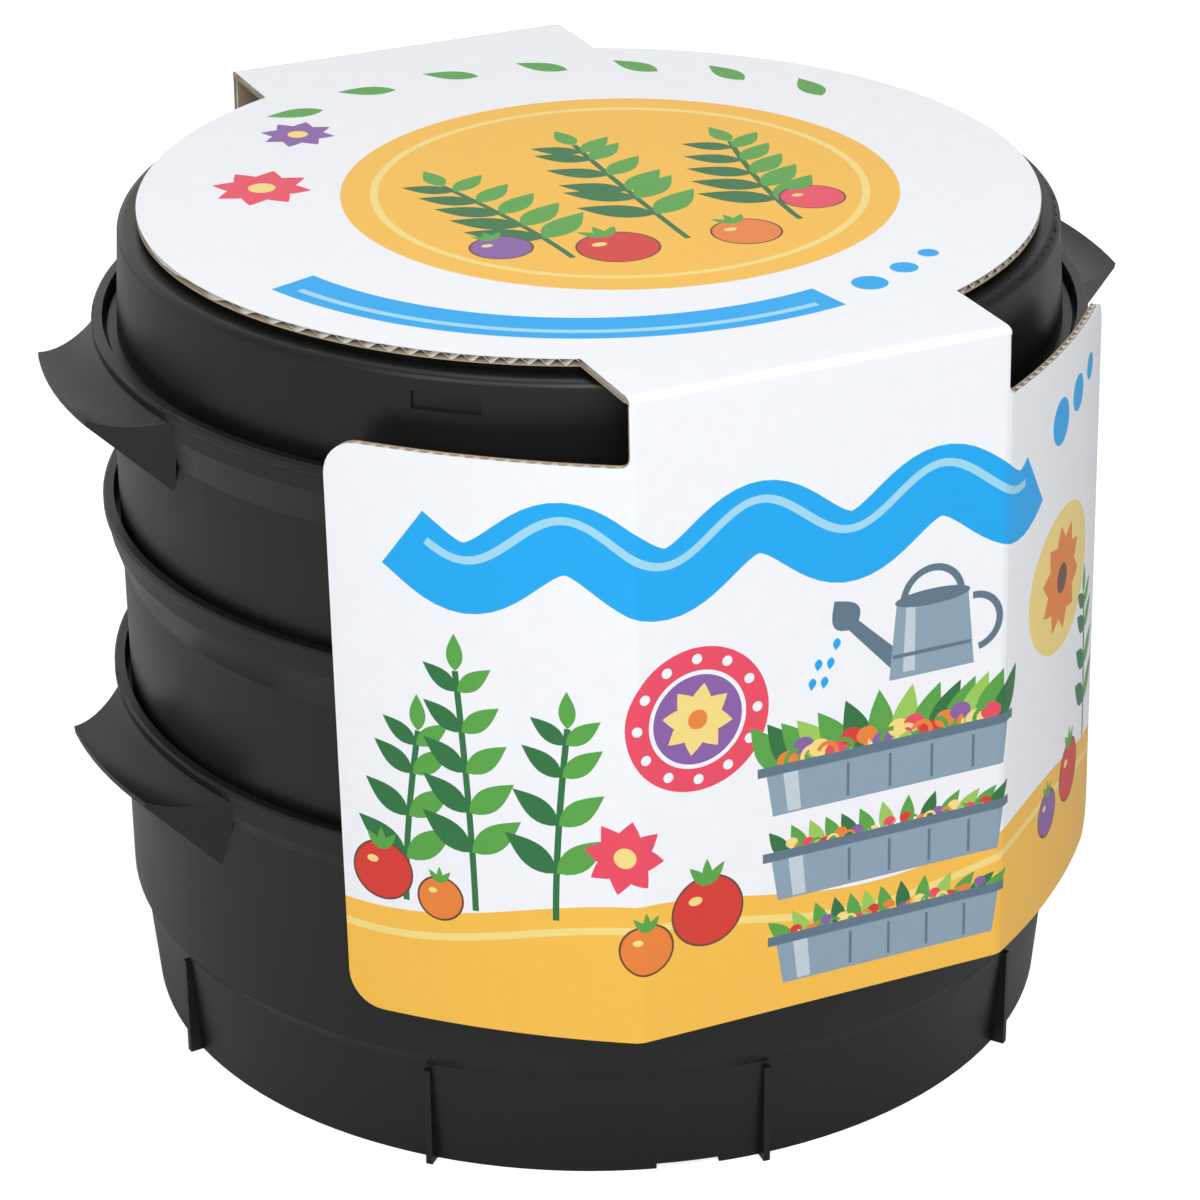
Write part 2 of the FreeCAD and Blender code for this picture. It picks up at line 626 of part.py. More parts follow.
# Working trays: perforated floor, narrow nesting foot, shoulder, wall, collar with seat, and rim
TRAY_OUTLINE = [
    ("Nought", "Nought"),
    ("TrayFloorOuter", "Nought"),
    ("TrayFootRadius", "FootBevel"),
    ("NestRadius", "Shoulder"),
    ("TrayWallRadius", "Shoulder"),
    ("TrayWallRadius", "TraySlopeFoot"),
    ("CollarOuter", "TrayCollarFoot"),
    ("CollarOuter", "TrayLipFoot"),
    ("RimRadius", "TrayLipFoot"),
    ("RimRadius", "TrayHeight"),
    ("CollarInner", "TrayHeight"),
    ("CollarInner", "TraySeat"),
    ("SeatInner", "TraySeat"),
    ("TrayInner", "TraySlopeFoot"),
    ("TrayInner", "ShoulderTop"),
    ("NestInner", "ShoulderTop"),
    ("TrayFootInner", "TrayBevelTop"),
    ("TrayFloorInner", "Wall"),
    ("Nought", "Wall"),
]
WORM_HOLES = (8, 14, 20, 26)


def working_tray(name):
    """One working tray without wings, standing on its own floor."""
    body = new_body(name)
    turned_solid(body, name + "_wall", TRAY_OUTLINE)
    round_rim(body, "tray")
    holes_in_rings(body, name + "_hole", "HoleRadius", "HoleRing", WORM_HOLES, size("Wall") / 2, "HoleCut")
    return body


def upper_working_tray():
    """The upper tray carries two wings; it sits a little turned on the stack."""
    body = working_tray("upper_tray_shell")
    pair, space = wings("upper_tray", size("TrayHeight"), size("TrayWallRadius"))
    whole = fused("upper_tray_whole", [body, pair])
    place = {"height": "UpperTrayFoot", "turn": "UpperTrayTurn"}
    return [
        finish(cut_by("upper_working_tray", whole, [space]), "upper_working_tray", **place),
        finish(shared("upper_tray_wings", whole, space), "upper_tray_wings", **place),
    ]


def lower_working_tray():
    """The lower tray has a plain rim."""
    return finish(working_tray("lower_working_tray"), "lower_working_tray", "LowerTrayFoot")


# Collector tray: skirt with ribs and notches, step, wall, floor with a raised island, seat, rim, tap hole
COLLECTOR_OUTLINE = [
    ("SkirtFootInner", "Nought"),
    ("SkirtFootRadius", "Nought"),
    ("SkirtTopRadius", "SkirtHeight"),
    ("CollectorWallRadius", "StepTop"),
    ("CollectorWallRadius", "CollectorSlopeFoot"),
    ("CollarOuter", "CollectorCollarFoot"),
    ("CollarOuter", "CollectorLipFoot"),
    ("RimRadius", "CollectorLipFoot"),
    ("RimRadius", "CollectorHeight"),
    ("CollarInner", "CollectorHeight"),
    ("CollarInner", "CollectorSeat"),
    ("SeatInner", "CollectorSeat"),
    ("SeatInner", "CollectorSeatFoot"),
    ("CollectorInner", "CollectorSeatRoot"),
    ("CollectorInner", "FloorBevelTop"),
    ("FloorBevelInner", "FloorTop"),
    ("IslandRadius", "FloorTop"),
    ("IslandTopRadius", "IslandTop"),
    ("Nought", "IslandTop"),
    ("Nought", "IslandCeiling"),
    ("IslandTopInner", "IslandCeiling"),
    ("IslandInner", "FloorHeight"),
    ("SkirtTopInner", "FloorHeight"),
]
TAP_SPACE = ("TapSpaceInner", "TapSpaceOuter", "FloorTop", "TapSpaceTop")
TAP_SPACE_HALF_ANGLE = 14.0


def collector_tray():
    """The bottom tray, which catches the liquid and stands on its skirt. The moulding is divided
    at its floor, round its tap hole and round its wings, so that collision keeps those places open."""
    body = new_body("collector_shell")
    turned_solid(body, "collector_wall", COLLECTOR_OUTLINE)
    round_rim(body, "collector")
    skirt_ribs(body)
    tipping_notches(body)
    tap_hole(body)
    pair, wing_space = wings("collector", size("CollectorHeight"), size("CollectorWallRadius"))
    whole = fused("collector_whole", [body, pair])
    tap_space = doc.addObject("Part::Feature", "collector_tap_space")
    tap_space.Shape = sector(*[size(name) for name in TAP_SPACE], TAP_SPACE_HALF_ANGLE, 90)
    skirt_space = rod("collector_skirt_space", "WingReach", "FloorHeight", upright(0, 0))
    tray = cut_by("collector_tray", whole, [wing_space, tap_space, skirt_space])
    return [
        finish(tray, "collector_tray", turn="CollectorTurn"),
        finish(shared("collector_wings", whole, wing_space), "collector_wings", turn="CollectorTurn"),
        finish(shared("collector_tap_wall", whole, tap_space), "collector_tap_wall", turn="CollectorTurn"),
        finish(shared("collector_skirt", whole, skirt_space), "collector_skirt", turn="CollectorTurn"),
    ]


def skirt_ribs(body):
    """Upright ribs round the outside of the skirt."""
    corners = [
        ("RibRoot", "Nought"),
        ("RibEdge", "Nought"),
        ("RibEdge", "RibHeight"),
        ("RibTopRoot", "RibHeight"),
    ]
    sketch = outline(body, "rib_outline", "XZ_Plane", corners, offset=about_z(size("RibStart")))
    rib = padded(body, "rib", sketch, "RibThickness", both_ways=True)
    repeated(body, "ribs", [rib], (sketch, ["V_Axis"]), round(size("RibCount")))


def tipping_notches(body):
    """Shallow notches in the foot edge, to get fingers under the stack."""
    corners = [
        ("NotchInner", "-NotchHalf"),
        ("RibEdge", "-NotchHalf"),
        ("RibEdge", "NotchHalf"),
        ("NotchInner", "NotchHalf"),
    ]
    turn = Placement(Vector(0, 0, 0), Rotation(Vector(0, 0, 1), size("NotchStart")))
    sketch = outline(body, "notch_outline", "XY_Plane", corners, offset=turn)
    notch = pocketed(body, "notch", sketch, "NotchHeight", backwards=True)
    repeated(body, "notches", [notch], (sketch, ["N_Axis"]), round(size("NotchCount")))


def tap_hole(body):
    """A flat boss on the wall at the back, bored for the tap."""
    face = Placement(Vector(0, 0, -size("TapBossFace")), Rotation())
    height = size("TapHoleHeight")
    boss = circle_sketch(body, "tap_boss_circle", "XZ_Plane", 0, height, "TapBossRadius", face)
    padded(body, "tap_boss", boss, "TapBossThickness")
    hole = circle_sketch(body, "tap_hole_circle", "XZ_Plane", 0, height, "TapHoleRadius", face)
    pocketed(body, "tap_hole", hole, "TapBossCut", both_ways=True)


# Lid: locating ring, foot bead, wall, rounded top and a sunk panel with vent holes
LID_OUTLINE = [
    ("Nought", "LidPanelTop"),
    ("LidPanelRadius", "LidPanelTop"),
    ("LidPanelSlope", "LidTop"),
    ("LidStepRadius", "LidTop"),
    ("LidStepOuter", "LidShoulder"),
    ("LidTopRadius", "LidShoulder"),
    ("LidWallRadius", "LidFootHeight"),
    ("LidFootRadius", "LidFootHeight"),
    ("LidFootRadius", "Nought"),
    ("LidPlugRadius", "Nought"),
    ("LidPlugTip", "LidPlugFoot"),
    ("LidPlugTipInner", "LidPlugFoot"),
    ("LidFootInner", "Nought"),
    ("LidTopInner", "LidBevelFoot"),
    ("LidBevelInner", "LidShoulderUnder"),
    ("LidStepOuterInner", "LidShoulderUnder"),
    ("LidStepInner", "LidCeiling"),
    ("LidPanelInnerSlope", "LidCeiling"),
    ("LidPanelInner", "LidPanelUnder"),
    ("Nought", "LidPanelUnder"),
]
VENT_HOLES = (6, 12, 18)
GRIP_COUNT = 3
GRIP_START = 229.7


def lid():
    """The vented lid, which sits in the upper tray's seat. The moulding is divided inside its
    wall, so that the hollow under its top stays open in collision."""
    body = new_body("lid_whole")
    turned_solid(body, "lid_shell", LID_OUTLINE)
    rounded(
        body,
        "lid_round",
        "LidRound",
        lambda edge: is_ring(edge, size("LidTopRadius"), size("LidShoulder")),
    )
    panel_middle = size("LidPanelTop") - size("Wall") / 2
    holes_in_rings(body, "vent", "VentRadius", "VentRing", VENT_HOLES, panel_middle, "HoleCut")
    corners = [
        ("GripInner", "-GripHalf"),
        ("LidFootRadius", "-GripHalf"),
        ("LidFootRadius", "GripHalf"),
        ("GripInner", "GripHalf"),
    ]
    lift = Placement(Vector(0, 0, size("GripLevel")), Rotation(Vector(0, 0, 1), GRIP_START))
    sketch = outline(body, "grip_outline", "XY_Plane", corners, offset=lift)
    grip = pocketed(body, "grip", sketch, "GripHeight")
    repeated(body, "grips", [grip], (sketch, ["N_Axis"]), GRIP_COUNT)
    top_space = rod("lid_top_space", "LidBevelInner", "LidTop", upright(0, 0))
    return [
        finish(shared("lid", body, top_space), "lid", "LidSeat"),
        finish(cut_by("lid_wall", body, [top_space]), "lid_wall", "LidSeat"),
    ]


# Carton sleeve: top disc with two necks, and a front and a back panel creased onto the necks
def sleeve_top():
    """The disc on the lid, with the two necks that reach out to the creases."""
    body = new_body("sleeve_top")
    disc = circle_sketch(body, "disc_circle", "XY_Plane", 0, 0, "DiscRadius")
    padded(body, "disc", disc, "Board")
    corners = [
        ("-NeckHalfWidth", "-PanelInside"),
        ("NeckHalfWidth", "-PanelInside"),
        ("NeckHalfWidth", "PanelInside"),
        ("-NeckHalfWidth", "PanelInside"),
    ]
    padded(body, "necks", outline(body, "neck_outline", "XY_Plane", corners), "Board")
    return finish(body, "sleeve_top", "DiscFoot")


PANEL_BENDS = {1: ("FlapBend", -1), 3: ("FlapBendInner", 1), 5: ("FlapBendInner", 1), 7: ("FlapBend", -1)}


def panel_outline(side):
    """The section of a panel: a flat middle, and a side flap bent round the stack at each end."""
    outer = (side + "FlapOuterX", side + "FlapOuterY")
    inner = (side + "FlapInnerX", side + "FlapInnerY")
    return [
        ("-NeckHalfWidth", "-Board"),
        ("NeckHalfWidth", "-Board"),
        outer,
        inner,
        ("NeckHalfWidth", "Nought"),
        ("-NeckHalfWidth", "Nought"),
        ("-" + inner[0], inner[1]),
        ("-" + outer[0], outer[1]),
    ]


def sleeve_panel(label, side, turn):
    """One panel, hung from its crease and spread from a flat middle to its two flaps."""
    body = new_body(label)
    band = outline(body, label + "_band", "XY_Plane", panel_outline(side), PANEL_BENDS)
    padded(body, label + "_board", band, "PanelDrop", backwards=True)
    reach = side + "FlapReach"
    for hand, sign in (("right", ""), ("left", "-")):
        corners = [
            (sign + "NeckHalfWidth", "-FlapDrop"),
            (sign + reach, "-FlapDrop"),
            (sign + reach, "Board"),
            (sign + "NeckHalfWidth", "Board"),
        ]
        above = outline(body, f"{label}_{hand}_above", "XZ_Plane", corners)
        pocketed(body, f"{label}_{hand}_cut", above, reach, both_ways=True)
    halfway = (size(side + "FlapInnerX") + size("NeckHalfWidth")) / 2
    rounded(body, label + "_corners", "PanelCorner", lambda edge: is_flap_corner(edge, halfway))
    rounded(body, label + "_neck_corners", "NeckCorner", is_neck_corner)
    body.Label = label
    lean = Rotation(Vector(1, 0, 0), -size("PanelLean"))
    spin = Rotation(Vector(0, 0, 1), turn)
    crease = spin.multVec(Vector(0, -size("PanelInside"), size("DiscTop")))
    body.Placement = Placement(crease, spin.multiply(lean))
    tie(body, Placement__Base__z="DiscTop")
    return body


def is_flap_corner(edge, halfway):
    """The four short edges at the free ends of the side flaps, past the flaps' halfway line."""
    middle = edge.CenterOfMass
    short = edge.Length < 1.5 * size("Board")
    level = edge.BoundBox.ZLength < 0.01
    return short and level and abs(middle.x) > halfway


def is_neck_corner(edge):
    """The two inner corners where a neck meets the top of a side flap."""
    middle = edge.CenterOfMass
    at_crease = abs(abs(middle.x) - size("NeckHalfWidth")) < 0.01 and edge.BoundBox.XLength < 0.01
    return at_crease and abs(middle.z + size("FlapDrop")) < 0.01


# Packed legs: tapered channels nested in one pile
def leg(number):
    """One leg: a tapered channel with a middle rib, a foot plate and a tongue with a hole at its head."""
    label = f"leg_{number}"
    body = new_body(label)
    ends = []
    for end, sign in (("Head", -1), ("Foot", 1)):
        corners = [
            (f"-Leg{end}Half", "LegDepth"),
            (f"Leg{end}Half", "LegDepth"),
            (f"Leg{end}Flange", "Nought"),
            (f"Leg{end}FlangeInner", "Nought"),
            (f"Leg{end}Inner", "LegWeb"),
            (f"-Leg{end}Inner", "LegWeb"),
            (f"-Leg{end}FlangeInner", "Nought"),
            (f"-Leg{end}Flange", "Nought"),
        ]
        place = Placement(Vector(0, 0, sign * size("LegLength") / 2), Rotation())
        ends.append(outline(body, f"{label}_{end.lower()}", "YZ_Plane", corners, offset=place))
    channel = body.newObject("PartDesign::AdditiveLoft", label + "_channel")
    channel.Profile = ends[0]
    channel.Sections = ends[1:]
    channel.Ruled = True
    rib = [
        ("-LegRibEnd", "LegRibFoot"),
        ("LegRibEnd", "LegRibFoot"),
        ("LegRibEnd", "LegWebMiddle"),
        ("-LegRibEnd", "LegWebMiddle"),
    ]
    padded(body, label + "_rib", outline(body, label + "_rib_line", "XZ_Plane", rib), "Wall", True)
    plate = [
        ("LegPlateFace", "LegRibFoot"),
        ("LegHalf", "LegRibFoot"),
        ("LegHalf", "LegWebMiddle"),
        ("LegPlateFace", "LegWebMiddle"),
    ]
    padded(body, label + "_foot_plate", outline(body, label + "_plate_line", "XZ_Plane", plate),
           "LegPlateWidth", True)
    tongue = [
        ("-LegTongueEnd", "-LegTongueHalf"),
        ("-LegTongueRoot", "-LegTongueHalf"),
        ("-LegTongueRoot", "LegTongueHalf"),
        ("-LegTongueEnd", "LegTongueHalf"),
    ]
    lift = Placement(Vector(0, 0, size("LegWeb")), Rotation())
    padded(body, label + "_tongue", outline(body, label + "_tongue_line", "XY_Plane", tongue, offset=lift),
           "Wall")
    middle = -size("LegHalf") - size("LegTongue") / 2
    hole = circle_sketch(body, label + "_hole_circle", "XY_Plane", middle, 0, "TongueHoleRadius", lift)
    pocketed(body, label + "_hole", hole, "HoleCut", both_ways=True)
    height = size("LowerFloor") + (number - 1) * size("LegStep")
    body.Placement = Placement(Vector(0, 0, height), Rotation())
    body.setExpression("Placement.Base.z", f"Sizes.LowerFloor + {number - 1} * Sizes.LegStep")
    return body


# Packed tap: body with flange, valve and spout; turning plug with lever; seal ring, two washers and a nut
def along_x(x):
    """A place on the inlet's axis, for a round piece that runs along X."""
    return Placement(Vector(x, 0, 0), Rotation(Vector(0, 1, 0), 90))


def upright(x, z):
    """A place for a round piece that runs upwards from a height."""
    return Placement(Vector(x, 0, z), Rotation())


def rod(name, radius, height, place):
    """A cylinder whose radius and height are cells."""
    made = doc.addObject("Part::Cylinder", name)
    tie(made, Radius=radius, Height=height)
    made.Placement = place
    return made


def tap_body():
    """Inlet to +X, valve housing in the middle, spout down."""
    valve = -size("TapValve")
    shell = fused("tap_shell", [
        rod("tap_inlet", "TapInletRadius", "TapInletLength", along_x(0)),
        rod("tap_flange", "TapFlangeRadius", "TapFlange", along_x(0)),
        rod("tap_neck", "TapNeckRadius", "TapValve", along_x(valve)),
        rod("tap_housing", "ValveRadius", "HousingHeight", upright(valve, -size("HousingDrop"))),
        rod("tap_spout", "SpoutRadius", "SpoutDrop", upright(valve, -size("SpoutDrop"))),
    ])
    ways = [
        rod("tap_way", "TapBore", "TapWayLength", along_x(valve)),
        rod("tap_seat", "PlugBore", "PlugSpace", upright(valve, -size("PlugDrop"))),
        rod("tap_outlet", "SpoutBore", "SpoutDrop", upright(valve, -size("SpoutDrop"))),
    ]
    return place_tap(cut_by("tap_body", shell, ways), "tap_body")


def seal_ring():
    """The rubber ring in the plug's groove."""
    made = doc.addObject("Part::Torus", "tap_seal_ring")
    tie(made, Radius1="SealCentre", Radius2="SealRadius")
    return place_tap(made, "tap_seal_ring", "SealAlong", "SealLevel")


def tap_handle():
    """The turning plug with its cross hole, cap and lever."""
    valve = -size("TapValve")
    lever = doc.addObject("Part::Box", "tap_lever")
    tie(lever, Length="HandleWidth", Width="HandleLength", Height="HandleCap")
    lever.Placement = Placement(
        Vector(valve - size("HandleWidth") / 2, 0, size("ValveRise")), Rotation()
    )
    plug = fused("tap_plug", [
        rod("plug_stem", "PlugRadius", "PlugLength", upright(valve, -size("PlugDrop"))),
        rod("plug_cap", "ValveRadius", "HandleCap", upright(valve, size("ValveRise"))),
        lever,
    ])
    crossing = Placement(
        Vector(valve, -size("ValveRadius"), 0), Rotation(Vector(1, 0, 0), -90)
    )
    groove_place = upright(valve, size("GrooveFoot"))
    groove_core = rod("groove_core", "GrooveFloor", "GrooveHeight", groove_place)
    cuts = [
        rod("plug_way", "PlugWay", "PlugWayLength", crossing),
        rod("plug_drain", "PlugWay", "PlugDrop", upright(valve, -size("PlugDrop"))),
        cut_by("seal_groove", rod("groove_ring", "PlugBore", "GrooveHeight", groove_place), [groove_core]),
    ]
    return place_tap(cut_by("tap_handle", plug, cuts), "tap_handle")


def washer(name, start):
    """A rubber washer on the inlet."""
    disc = rod(name + "_disc", "WasherRadius", "WasherThickness", along_x(start))
    hole = rod(name + "_hole", "WasherBore", "WasherThickness", along_x(start))
    return place_tap(cut_by(name, disc, [hole]), name)


def tap_nut():
    """The hexagon nut that draws the tap against the wall."""
    start = size("TapFlange") + 2 * size("WasherThickness")
    hexagon = doc.addObject("Part::Prism", "nut_hexagon")
    hexagon.Polygon = 6
    tie(hexagon, Circumradius="NutRadius", Height="NutThickness")
    hexagon.Placement = along_x(start)
    hole = rod("nut_hole", "NutBore", "NutThickness", along_x(start))
    return place_tap(cut_by("tap_nut", hexagon, [hole]), "tap_nut")


def place_tap(thing, label, along="TapAlong", level="TapRest"):
    """Puts a piece of the tap where the packed tap lies, its spout standing on the collector's floor."""
    thing.Label = label
    thing.Placement = Placement(Vector(size(along), size("TapAcross"), size(level)), Rotation())
    tie(thing, Placement__Base__x=along, Placement__Base__y="TapAcross", Placement__Base__z=level)
    return thing


# Packed papers and bedding in the upper tray
def block(name, length, width, height, along, floor):
    """A plain box centred on the X axis, standing on a height."""
    made = doc.addObject("Part::Box", name)
    tie(made, Length=length, Width=width, Height=height)
    made.Placement = Placement(
        Vector(size(along) - size(length) / 2, -size(width) / 2, size(floor)), Rotation()
    )
    return made


def bedding():
    """The pressed bedding block and the paper band round it."""
    pressed = block("bedding_block", "BlockLength", "BlockWidth", "BlockHeight", "BlockAlong", "UpperFloor")
    outside = block("band_outside", "BandWidth", "BandOuterSpan", "BandOuterRise", "BlockAlong", "UpperFloor")
    inside = block("band_inside", "BandWidth", "BlockWidth", "BlockHeight", "BlockAlong", "UpperFloor")
    band = cut_by("bedding_band", outside, [inside])
    pressed.Label = "bedding_block"
    band.Label = "bedding_band"
    return [pressed, band]


def leaflet():
    """The folded instruction leaflet, lying on the tray's floor."""
    made = block("leaflet", "LeafletLength", "LeafletWidth", "LeafletThickness", "LeafletAlong", "UpperFloor")
    made.Label = "leaflet"
    return made


pieces = [
    *collector_tray(),
    lower_working_tray(),
    *upper_working_tray(),
    *lid(),
    sleeve_top(),
    sleeve_panel("sleeve_front_panel", "Front", 0),
    sleeve_panel("sleeve_back_panel", "Back", 180),
    *[leg(number) for number in range(1, 6)],
    tap_body(),
    tap_handle(),
    seal_ring(),
    washer("tap_outer_washer", size("TapFlange")),
    washer("tap_inner_washer", size("TapFlange") + size("WasherThickness")),
    tap_nut(),
    *bedding(),
    leaflet(),
]

doc.recompute()
for thing in doc.Objects:
    if "Invalid" in thing.State or "Error" in thing.State:
        raise RuntimeError(f"{thing.Label} did not build: {thing.State}")
for piece in pieces:
    if piece.Shape.isNull() or not piece.Shape.isValid():
        raise RuntimeError(f"{piece.Label} has no valid shape")

os.makedirs("parts", exist_ok=True)
for piece in pieces:
    piece.Shape.exportStep(f"parts/{piece.Label}.step")
    print(piece.Label, len(piece.Shape.Solids), round(piece.Shape.Volume / 1000, 1), "cm3")
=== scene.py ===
"""Looks of the stacking worm bin: printed board sleeve, plastics, packed kit, studio and camera."""

import math

import bmesh
import bpy
from bpy.props import FloatProperty, FloatVectorProperty, PointerProperty
from mathutils import Matrix, Vector, noise
from mathutils.geometry import delaunay_2d_cdt


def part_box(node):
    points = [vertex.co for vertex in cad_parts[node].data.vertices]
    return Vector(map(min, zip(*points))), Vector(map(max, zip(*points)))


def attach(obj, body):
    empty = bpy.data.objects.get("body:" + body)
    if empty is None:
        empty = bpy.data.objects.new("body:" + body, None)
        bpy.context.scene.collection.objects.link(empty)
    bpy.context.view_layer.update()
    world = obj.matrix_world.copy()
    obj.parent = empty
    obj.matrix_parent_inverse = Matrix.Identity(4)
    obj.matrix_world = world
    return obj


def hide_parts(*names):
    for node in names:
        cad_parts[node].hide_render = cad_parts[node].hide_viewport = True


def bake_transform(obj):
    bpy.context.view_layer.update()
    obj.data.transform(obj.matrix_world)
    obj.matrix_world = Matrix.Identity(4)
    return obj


bl_info = {
    "name": "Worm bin looks",
    "version": (1, 0, 0),
    "blender": (4, 5, 0),
    "location": "3D View > Sidebar > Worm bin",
    "description": "Builds the printed sleeve and finishes the plastic stack and its packed kit",
    "category": "Object",
}

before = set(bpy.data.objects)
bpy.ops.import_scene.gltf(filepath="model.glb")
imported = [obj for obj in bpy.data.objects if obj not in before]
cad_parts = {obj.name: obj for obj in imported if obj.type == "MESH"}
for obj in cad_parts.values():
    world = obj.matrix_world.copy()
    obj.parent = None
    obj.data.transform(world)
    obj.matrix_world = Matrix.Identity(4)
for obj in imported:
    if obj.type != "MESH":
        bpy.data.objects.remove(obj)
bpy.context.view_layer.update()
TOP_LOW, TOP_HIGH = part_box("sleeve_top")
BOARD_THICKNESS = TOP_HIGH.z - TOP_LOW.z
CREASE_Y = -TOP_LOW.y
MM = 0.001


def linear(code):
    """Turns an sRGB hex colour into linear red, green and blue."""
    shares = [int(code[place:place + 2], 16) / 255 for place in (1, 3, 5)]
    return tuple(c / 12.92 if c <= 0.04045 else ((c + 0.055) / 1.055) ** 2.4 for c in shares)


# Inks of the print: sRGB, matched to the printed board
INKS = {
    "white": linear("#F3F5FA"),
    "amber": linear("#F9C14C"),
    "straw": linear("#F7DD86"),
    "blue": linear("#0FA9F2"),
    "sky": linear("#9FD8F2"),
    "rose": linear("#EC4A63"),
    "plum": linear("#8A5FA8"),
    "leaf": linear("#58A545"),
    "fir": linear("#2C7440"),
    "tomato": linear("#D8392F"),
    "carrot": linear("#EC8436"),
    "sprout": linear("#9CCB5A"),
    "mist": linear("#C3D0DA"),
    "slate": linear("#8CA2B4"),
    "steel": linear("#5F7689"),
    "soil": linear("#6A4630"),
    "kraft": linear("#BBA88F"),
    "oat": linear("#EEE9E1"),
}


def colour_setting(label, meaning, code):
    """A colour that the user can change."""
    return FloatVectorProperty(
        name=label,
        description=meaning,
        subtype="COLOR",
        size=3,
        min=0,
        max=1,
        default=linear(code),
    )


def length_setting(label, meaning, millimetres):
    """A length that the user can change, given in millimetres and kept in metres."""
    return FloatProperty(
        name=label,
        description=meaning,
        unit="LENGTH",
        subtype="DISTANCE",
        precision=4,
        min=0,
        default=millimetres * MM,
    )


def angle_setting(label, meaning, degrees):
    """An angle that the user can change."""
    turn = math.radians(degrees)
    return FloatProperty(name=label, description=meaning, subtype="ANGLE", default=turn)


def strength_setting(label, meaning, strength):
    """The strength of a light that the user can change."""
    return FloatProperty(name=label, description=meaning, default=strength)


class BoardSettings(bpy.types.PropertyGroup):
    """Sizes of the corrugated board and of its folds."""

    liner: length_setting("Liner", "Thickness of each flat liner", 0.35)
    flute_pitch: length_setting("Flute pitch", "Distance from flute to flute", 7.4)
    flute_skin: length_setting("Flute paper", "Thickness of the fluted paper", 0.3)
    disc_radius: length_setting("Disc radius", "Radius of the top disc", TOP_HIGH.x / MM)
    neck_half: length_setting("Neck half width", "Half width of the necks and panel middles", 98.0)
    panel_drop: length_setting("Panel drop", "Length of a panel from its crease", 332.0)
    flap_drop: length_setting("Flap drop", "How far the side flaps start under the crease", 34.0)
    front_reach: length_setting("Front flap reach", "Length of a front flap along its bend", 149.65)
    back_reach: length_setting("Back flap reach", "Length of a back flap along its bend", 92.24)
    flap_bend: length_setting("Flap bend", "Radius of a side flap's bend", 450.0)
    corner: length_setting("Corner", "Corner radius of the panels", 18.0)
    fold_round: length_setting("Fold rounding", "Length of board over which a fold turns", 3.4)
    flap_turn: angle_setting("Flap turn", "Angle of a side fold", 32.8)
    lean: angle_setting("Lean", "Lean of a panel, outwards at the foot", 1.6)


class FinishSettings(bpy.types.PropertyGroup):
    """Colours of the materials."""

    bin_black: colour_setting("Bin plastic", "Black recycled polypropylene", "#131212")
    tap_black: colour_setting("Tap plastic", "Black glossy polypropylene", "#1D1D1F")
    rubber: colour_setting("Rubber", "Black rubber of washers and seal", "#1B1B1B")
    coir: colour_setting("Coir", "Pressed coconut fibre", "#6F4A2C")
    band: colour_setting("Band", "Paper band round the bedding block", "#D9A14A")
    paper: colour_setting("Leaflet", "Leaflet paper", "#EDECE6")


class StudioSettings(bpy.types.PropertyGroup):
    """Light of the studio."""

    key: strength_setting("Key light", "Power of the large front light in watts", 42.0)
    top: strength_setting("Top light", "Power of the overhead light in watts", 38.0)
    side: strength_setting("Side light", "Power of the left light in watts", 12.0)
    room: strength_setting("Room light", "Strength of the even white room", 0.5)
    backdrop: strength_setting("Backdrop", "Strength of the white backdrop in glossy surfaces", 0.8)


def settings():
    """The scene's settings of this add-on."""
    return bpy.context.scene.worm_bin


class WormBinSettings(bpy.types.PropertyGroup):
    """All settings of the worm bin."""

    board: PointerProperty(type=BoardSettings)
    finish: PointerProperty(type=FinishSettings)
    studio: PointerProperty(type=StudioSettings)


# Materials
def fill(tree, node, inputs):
    """Sets a node's inputs, or links those that come from another node."""
    for key, value in inputs.items():
        if isinstance(value, bpy.types.NodeSocket):
            tree.links.new(value, node.inputs[key])
        else:
            node.inputs[key].default_value = value


def new_node(tree, kind, inputs=None, **values):
    """Adds a node, sets its values and fills its inputs."""
    made = tree.nodes.new(kind)
    for key, value in values.items():
        setattr(made, key, value)
    fill(tree, made, inputs or {})
    return made


def new_material(name):
    """An empty node material with its shader."""
    material = bpy.data.materials.new(name)
    material.use_nodes = True
    tree = material.node_tree
    tree.nodes.clear()
    shader = new_node(tree, "ShaderNodeBsdfPrincipled")
    new_node(tree, "ShaderNodeOutputMaterial", {"Surface": shader.outputs["BSDF"]})
    return material, tree, shader


def piece_place(tree):
    """The place on the piece, in metres."""
    return new_node(tree, "ShaderNodeTexCoord").outputs["Object"]


def drawn_out(tree, place, **values):
    """A place that is stretched or turned."""
    inputs = {"Vector": place, **values}
    return new_node(tree, "ShaderNodeMapping", inputs).outputs[0]


def clouds(tree, place, size, detail, rough=0.5, bend=0.0):
    """Noise whose features have a size in millimetres."""
    inputs = {
        "Vector": place,
        "Scale": 1000 / size,
        "Detail": detail,
        "Roughness": rough,
        "Distortion": bend,
    }
    return new_node(tree, "ShaderNodeTexNoise", inputs).outputs["Fac"]


def ranged(tree, value, low, high, start=0.0, end=1.0):
    """Turns a value between start and end into one between low and high."""
    inputs = {"Value": value, "From Min": start, "From Max": end, "To Min": low, "To Max": high}
    return new_node(tree, "ShaderNodeMapRange", inputs).outputs["Result"]


def calculated(tree, operation, first, second=0.5):
    """A sum on one or two values."""
    return new_node(tree, "ShaderNodeMath", {0: first, 1: second}, operation=operation).outputs[0]


def mixed_colour(tree, factor, first, second, **values):
    """A mixture of two colours."""
    inputs = {"Factor": factor, "A": first, "B": second}
    return new_node(tree, "ShaderNodeMix", inputs, data_type="RGBA", **values).outputs["Result"]


def tone(colour, share):
    """A darker or paler tone of a colour."""
    return (*[min(1.0, share * part) for part in colour], 1)


